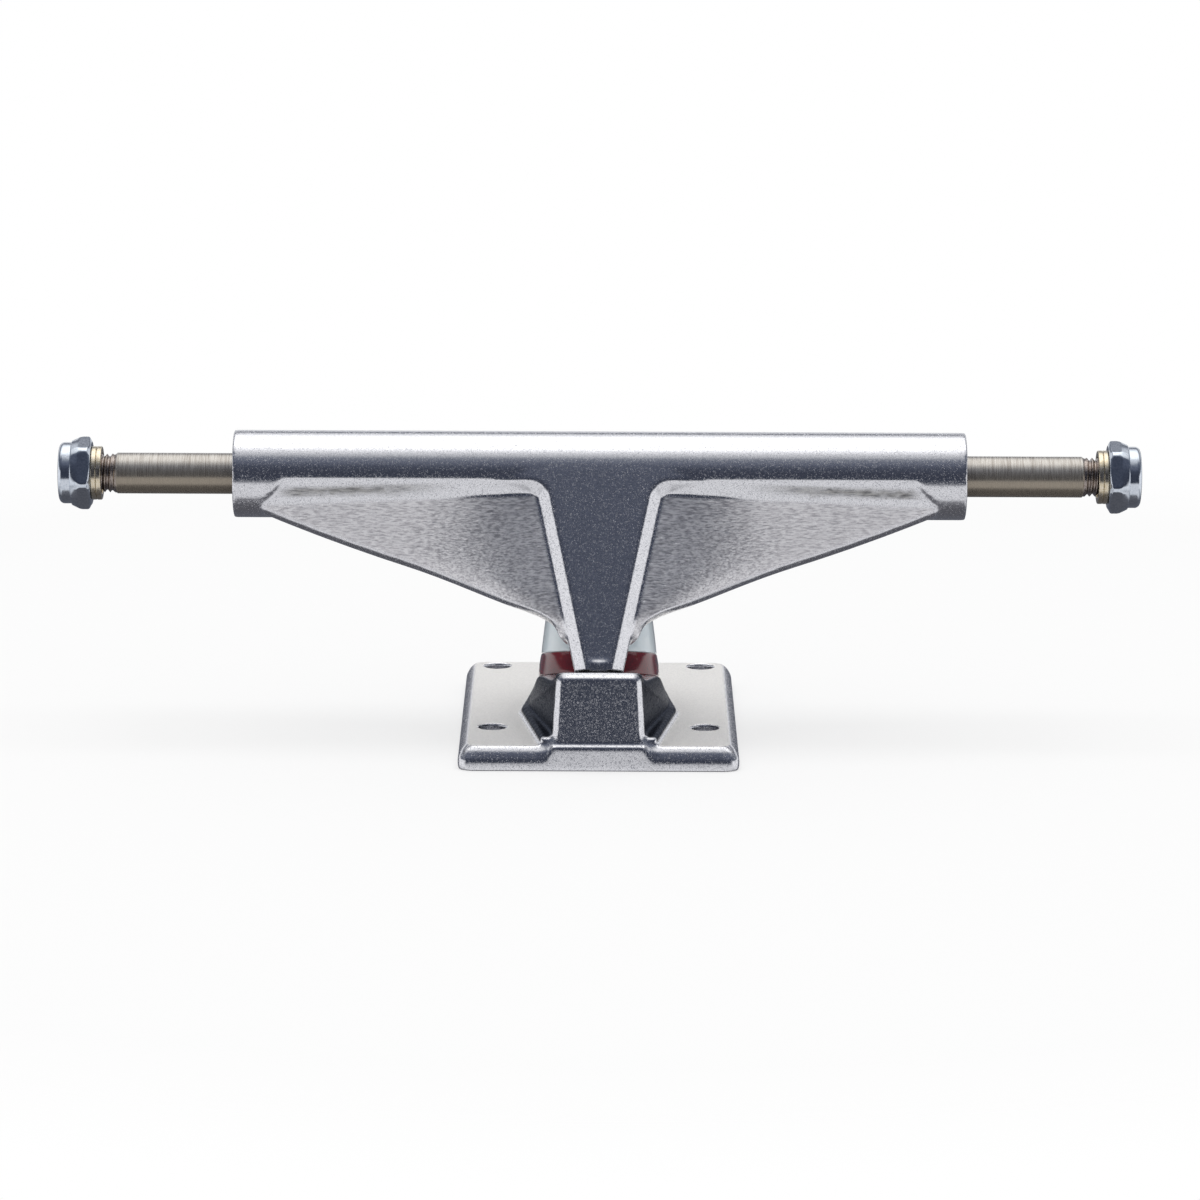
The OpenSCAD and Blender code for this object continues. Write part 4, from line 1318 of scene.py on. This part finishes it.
@dataclass
class Studio:
    """The camera, floor, lights and dark screens of a plain product photograph.

    The camera was set from the four bolt holes, whose real spacing is known.

    Attributes:
        image_px: The photograph's width.
        focal_px: The focal length, in its pixels.
        sensor_mm: The camera's sensor width.
        reach_m: The nearest and the farthest that the camera sees.
        look_at: What it looks at, in millimetres.
        distance: How far away it stands, in millimetres.
        elevation: How high it stands, in degrees.
        roll: How far it is turned about its view, in degrees.
        fill: The world's strength on everything but the camera's view and reflections.
        table_half: Half the table's side, in millimetres.
        table_drop: How far below the truck it lies.
        table_radius: How far from the middle it begins to fade out.
        table_fade: How far it takes.
        paper: The paper's lightness.
        paper_glow: How much of the camera's view of it is plain white.
        tent_radius: The tent's size, in millimetres.
        tent_strength: How brightly its cloth shows in reflections.
        tent_front: Its front's cloth, as degrees above the horizon and colours.
        tent_rear: Its back's cloth.
        tent_side: Its two sides' cloth.
        rear_seam: Where the front gives way to the back, along Y.
        side_seam: Where either gives way to the sides, along X.
        softbox_m: The soft light's width and depth.
        softbox_at_m: Its place.
        softbox_watts: Its power.
    """

    image_px: float = 1200.0
    focal_px: float = 5627.0
    sensor_mm: float = 36.0
    reach_m: Point = (0.01, 20.0)
    look_at: tuple[float, float, float] = (0.15, -27.0, 29.85)
    distance: float = 1087.0
    elevation: float = 12.0
    roll: float = 0.25
    fill: float = 0.75
    table_half: float = 1200.0
    table_drop: float = 0.02
    table_radius: float = 240.0
    table_fade: float = 60.0
    paper: float = 0.8
    paper_glow: float = 0.6
    tent_radius: float = 1300.0
    tent_strength: float = 1.8
    tent_front: Cloth = ((-90, "46464a"), (-58, "5c5c60"), (-51, "b4b4b6"), (-12, "b6b6b8"), (-8, "2f333d"),
                         (17, "2f323c"), (32, "363a45"), (40, "494d59"), (50, "575b66"), (56, "70737a"),
                         (62, "9b9c9f"), (74, "c4c4c6"), (84, "ffffff"))
    tent_rear: Cloth = ((-90, "46464a"), (-24, "4c4e55"), (0, "4c4e55"), (5, "b6b7ba"), (16, "b6b7ba"),
                        (24, "5a5c63"), (31, "5c5e65"), (38, "a8a9ad"), (50, "e4e4e4"), (62, "ffffff"))
    tent_side: Cloth = ((-64, "5c5c60"), (-57, "a0a0a2"), (-26, "8a8b8e"), (-20, "c2c2c4"), (12, "c6c6c8"),
                        (15, "454a54"), (48, "585c66"), (60, "ffffff"))
    rear_seam: Point = (-0.2, 0.15)
    side_seam: Point = (0.7, 0.88)
    softbox_m: Point = (1.4, 1.0)
    softbox_at_m: tuple[float, float, float] = (0.0, -0.1, 1.5)
    softbox_watts: float = 12.0

    def camera(self) -> None:
        """Places the camera at the photograph's viewing angle."""
        data = bpy.data.cameras.new("camera")
        data.sensor_width = self.sensor_mm
        data.lens = self.focal_px / self.image_px * self.sensor_mm
        data.clip_start, data.clip_end = self.reach_m
        camera = bpy.data.objects.new("camera", data)
        tilt = math.radians(self.elevation)
        away = Vector((0, -math.cos(tilt), math.sin(tilt))) * self.distance
        rolled = Matrix.Rotation(math.radians(self.roll), 4, "Z")
        turned = Matrix.Rotation(math.pi / 2 - tilt, 4, "X") @ rolled
        camera.matrix_world = Matrix.Translation((Vector(self.look_at) + away) * MM) @ turned
        bpy.context.scene.collection.objects.link(camera)
        bpy.context.scene.camera = camera

    def world(self) -> None:
        """Makes a surround that is plain white for the camera and in reflections, and dimmer as a light."""
        world = bpy.data.worlds.new("studio")
        bpy.context.scene.world = world
        world.use_nodes = True
        tree = world.node_tree
        tree.nodes.clear()
        path = add(tree, "LightPath").outputs
        seen = add(tree, "Math", {0: path["Is Camera Ray"], 1: path["Is Glossy Ray"]}, operation="MAXIMUM")
        shown = add(tree, "Math", {0: seen.outputs[0], 1: path["Is Transmission Ray"]}, operation="MAXIMUM")
        strength = add(tree, "MapRange", {"Value": shown.outputs[0], "To Min": self.fill, "To Max": 1.0})
        back = add(tree, "Background", {"Color": grey(1.0), "Strength": strength.outputs[0]})
        add(tree, "OutputWorld", {"Surface": back.outputs[0]})

    def floor(self) -> None:
        """Lays a white table that keeps a faint shadow and fades out at its edge."""
        bm = bmesh.new()
        bmesh.ops.create_grid(bm, x_segments=1, y_segments=1, size=self.table_half)
        floor = mesh_object("floor", bm, Matrix.Translation((0, 0, -self.table_drop)))
        material, tree = blank_material("white_paper")
        dull = add(tree, "BsdfDiffuse", {"Color": grey(self.paper)})
        bright = add(tree, "Emission", {"Color": grey(1.0), "Strength": 1.0})
        camera = add(tree, "LightPath").outputs["Is Camera Ray"]
        share = add(tree, "Math", {0: camera, 1: self.paper_glow}, operation="MULTIPLY")
        mixed = add(tree, "MixShader", {0: share.outputs[0], 1: dull.outputs[0], 2: bright.outputs[0]})
        away = add(tree, "VectorMath", {0: add(tree, "TexCoord").outputs["Object"]}, operation="LENGTH")
        fade = add(tree, "MapRange", {"Value": away.outputs["Value"], "From Min": self.table_radius * MM,
                                      "From Max": (self.table_radius + self.table_fade) * MM})
        clear = add(tree, "BsdfTransparent")
        faded = add(tree, "MixShader", {0: fade.outputs[0], 1: mixed.outputs[0], 2: clear.outputs[0]})
        add(tree, "OutputMaterial", {"Surface": faded.outputs[0]})
        floor.data.materials.append(material)
        floor.visible_glossy = False

    def tent(self) -> None:
        """Puts a light tent over the table that only reflections see.

        Its front is slate cloth between a pale apron and the white top. Its back is dark below and has a pale
        band above the horizon, and each side has a pale panel. Polished metal shows the front as its dark
        half and the top as its highlight.
        """
        bm = bmesh.new()
        bmesh.ops.create_uvsphere(bm, u_segments=64, v_segments=48, radius=self.tent_radius)
        tent = mesh_object("light_tent", bm)
        material, tree = blank_material("tent_cloth")
        unit = add(tree, "VectorMath", {0: add(tree, "TexCoord").outputs["Object"]}, operation="NORMALIZE")
        axes = add(tree, "SeparateXYZ", {0: unit.outputs[0]}).outputs
        rise = add(tree, "MapRange", {"Value": axes["Z"], "From Min": -1.0}).outputs[0]

        def hung(cloth: Cloth) -> bpy.types.NodeSocket:
            """Hangs a cloth by its angles above the horizon."""
            stops = [((math.sin(math.radians(angle)) + 1) / 2, colour(code)) for angle, code in cloth]
            return ramp(tree, rise, stops).outputs[0]

        front, rear, side = hung(self.tent_front), hung(self.tent_rear), hung(self.tent_side)
        behind = add(tree, "MapRange", {"Value": axes["Y"], "From Min": self.rear_seam[0],
                                        "From Max": self.rear_seam[1]}).outputs[0]
        cloth = add(tree, "Mix", {0: behind, 6: front, 7: rear}, data_type="RGBA").outputs[2]
        across = add(tree, "Math", {0: axes["X"]}, operation="ABSOLUTE").outputs[0]
        aside = add(tree, "MapRange", {"Value": across, "From Min": self.side_seam[0],
                                       "From Max": self.side_seam[1]}).outputs[0]
        lit = add(tree, "Mix", {0: aside, 6: cloth, 7: side}, data_type="RGBA").outputs[2]
        glow = add(tree, "Emission", {"Color": lit, "Strength": self.tent_strength})
        add(tree, "OutputMaterial", {"Surface": glow.outputs[0]})
        tent.data.materials.append(material)
        tent.visible_camera = tent.visible_diffuse = tent.visible_shadow = False
        tent.visible_transmission = False

    def softbox(self) -> None:
        """Hangs one wide soft light over the table."""
        data = bpy.data.lights.new("softbox", "AREA")
        data.shape = "RECTANGLE"
        data.size, data.size_y = self.softbox_m
        data.energy = self.softbox_watts
        light = bpy.data.objects.new("softbox", data)
        light.location = self.softbox_at_m
        light.visible_glossy = False
        bpy.context.scene.collection.objects.link(light)

    def build(self) -> None:
        """Builds the studio."""
        bpy.context.scene.view_settings.view_transform = "Standard"
        self.camera()
        self.world()
        self.floor()
        self.tent()
        self.softbox()


def dress_cup() -> None:
    """Gives the pivot cup, which stays as it was turned in CAD, its finish."""
    cup = frame["nodes"]["pivot_cup"]
    cup.data.materials.clear()
    cup.data.materials.append(FINISHES.get(FINISHES.cup))


def pieces() -> list[Bushing | Ring | LockNut | Kingpin | Axle]:
    """Lists the turned pieces, from the kingpin's head up and then along the axle."""
    listed = [
        Kingpin(),
        Ring("seat_washer", "lower_washer", "base", "zinc_plate", FINISHES.zinc),
        Bushing("bushing_foot", "lower_bushing", "red_urethane", FINISHES.red),
        # Its pale colour paints the bright reflection on the stack's upper zone.
        Bushing("bushing_body", "lower_bushing_cap", "pale_urethane", FINISHES.pale),
        Bushing("bushing_top", "upper_bushing", "red_urethane", FINISHES.red, hangs=True),
        CupWasher("cup_washer", "upper_cup_washer", "king_washer", "zinc_plate", FINISHES.zinc),
        LockNut("kingpin_lock_nut", "kingpin_nut", "king_nut", flats_mm=14.29, hex_mm=6.0, collar_d_mm=13.49),
        Ring("kingpin_lock_ring", "kingpin_nut_insert", "king_nut", "nylon", FINISHES.nylon),
        Axle(),
    ]
    for side in Side:
        word = side.name.lower()
        for place in ("inner", "outer"):
            node = f"{word}_{place}_speed_washer"
            listed.append(Ring(node + "_disc", node, word + "_washers", "yellow_zinc", FINISHES.gold, side))
        listed.append(LockNut(word + "_lock_nut", word + "_axle_nut", word + "_nut", flats_mm=12.7,
                              hex_mm=3.9, collar_d_mm=11.9, side=side, clock_deg=-20.0 * side.value))
        listed.append(Ring(word + "_lock_ring", word + "_axle_nut_insert", word + "_nut", "nylon",
                           FINISHES.nylon, side))
    return listed


def main() -> None:
    """Builds the studio and the truck."""
    logging.basicConfig(level=logging.INFO, format="%(message)s")
    Studio().build()
    BasePlate().build("base_casting")
    Hanger().build("hanger_casting")
    dress_cup()
    for piece in pieces():
        piece.build()


if __name__ == "__main__":
    main()
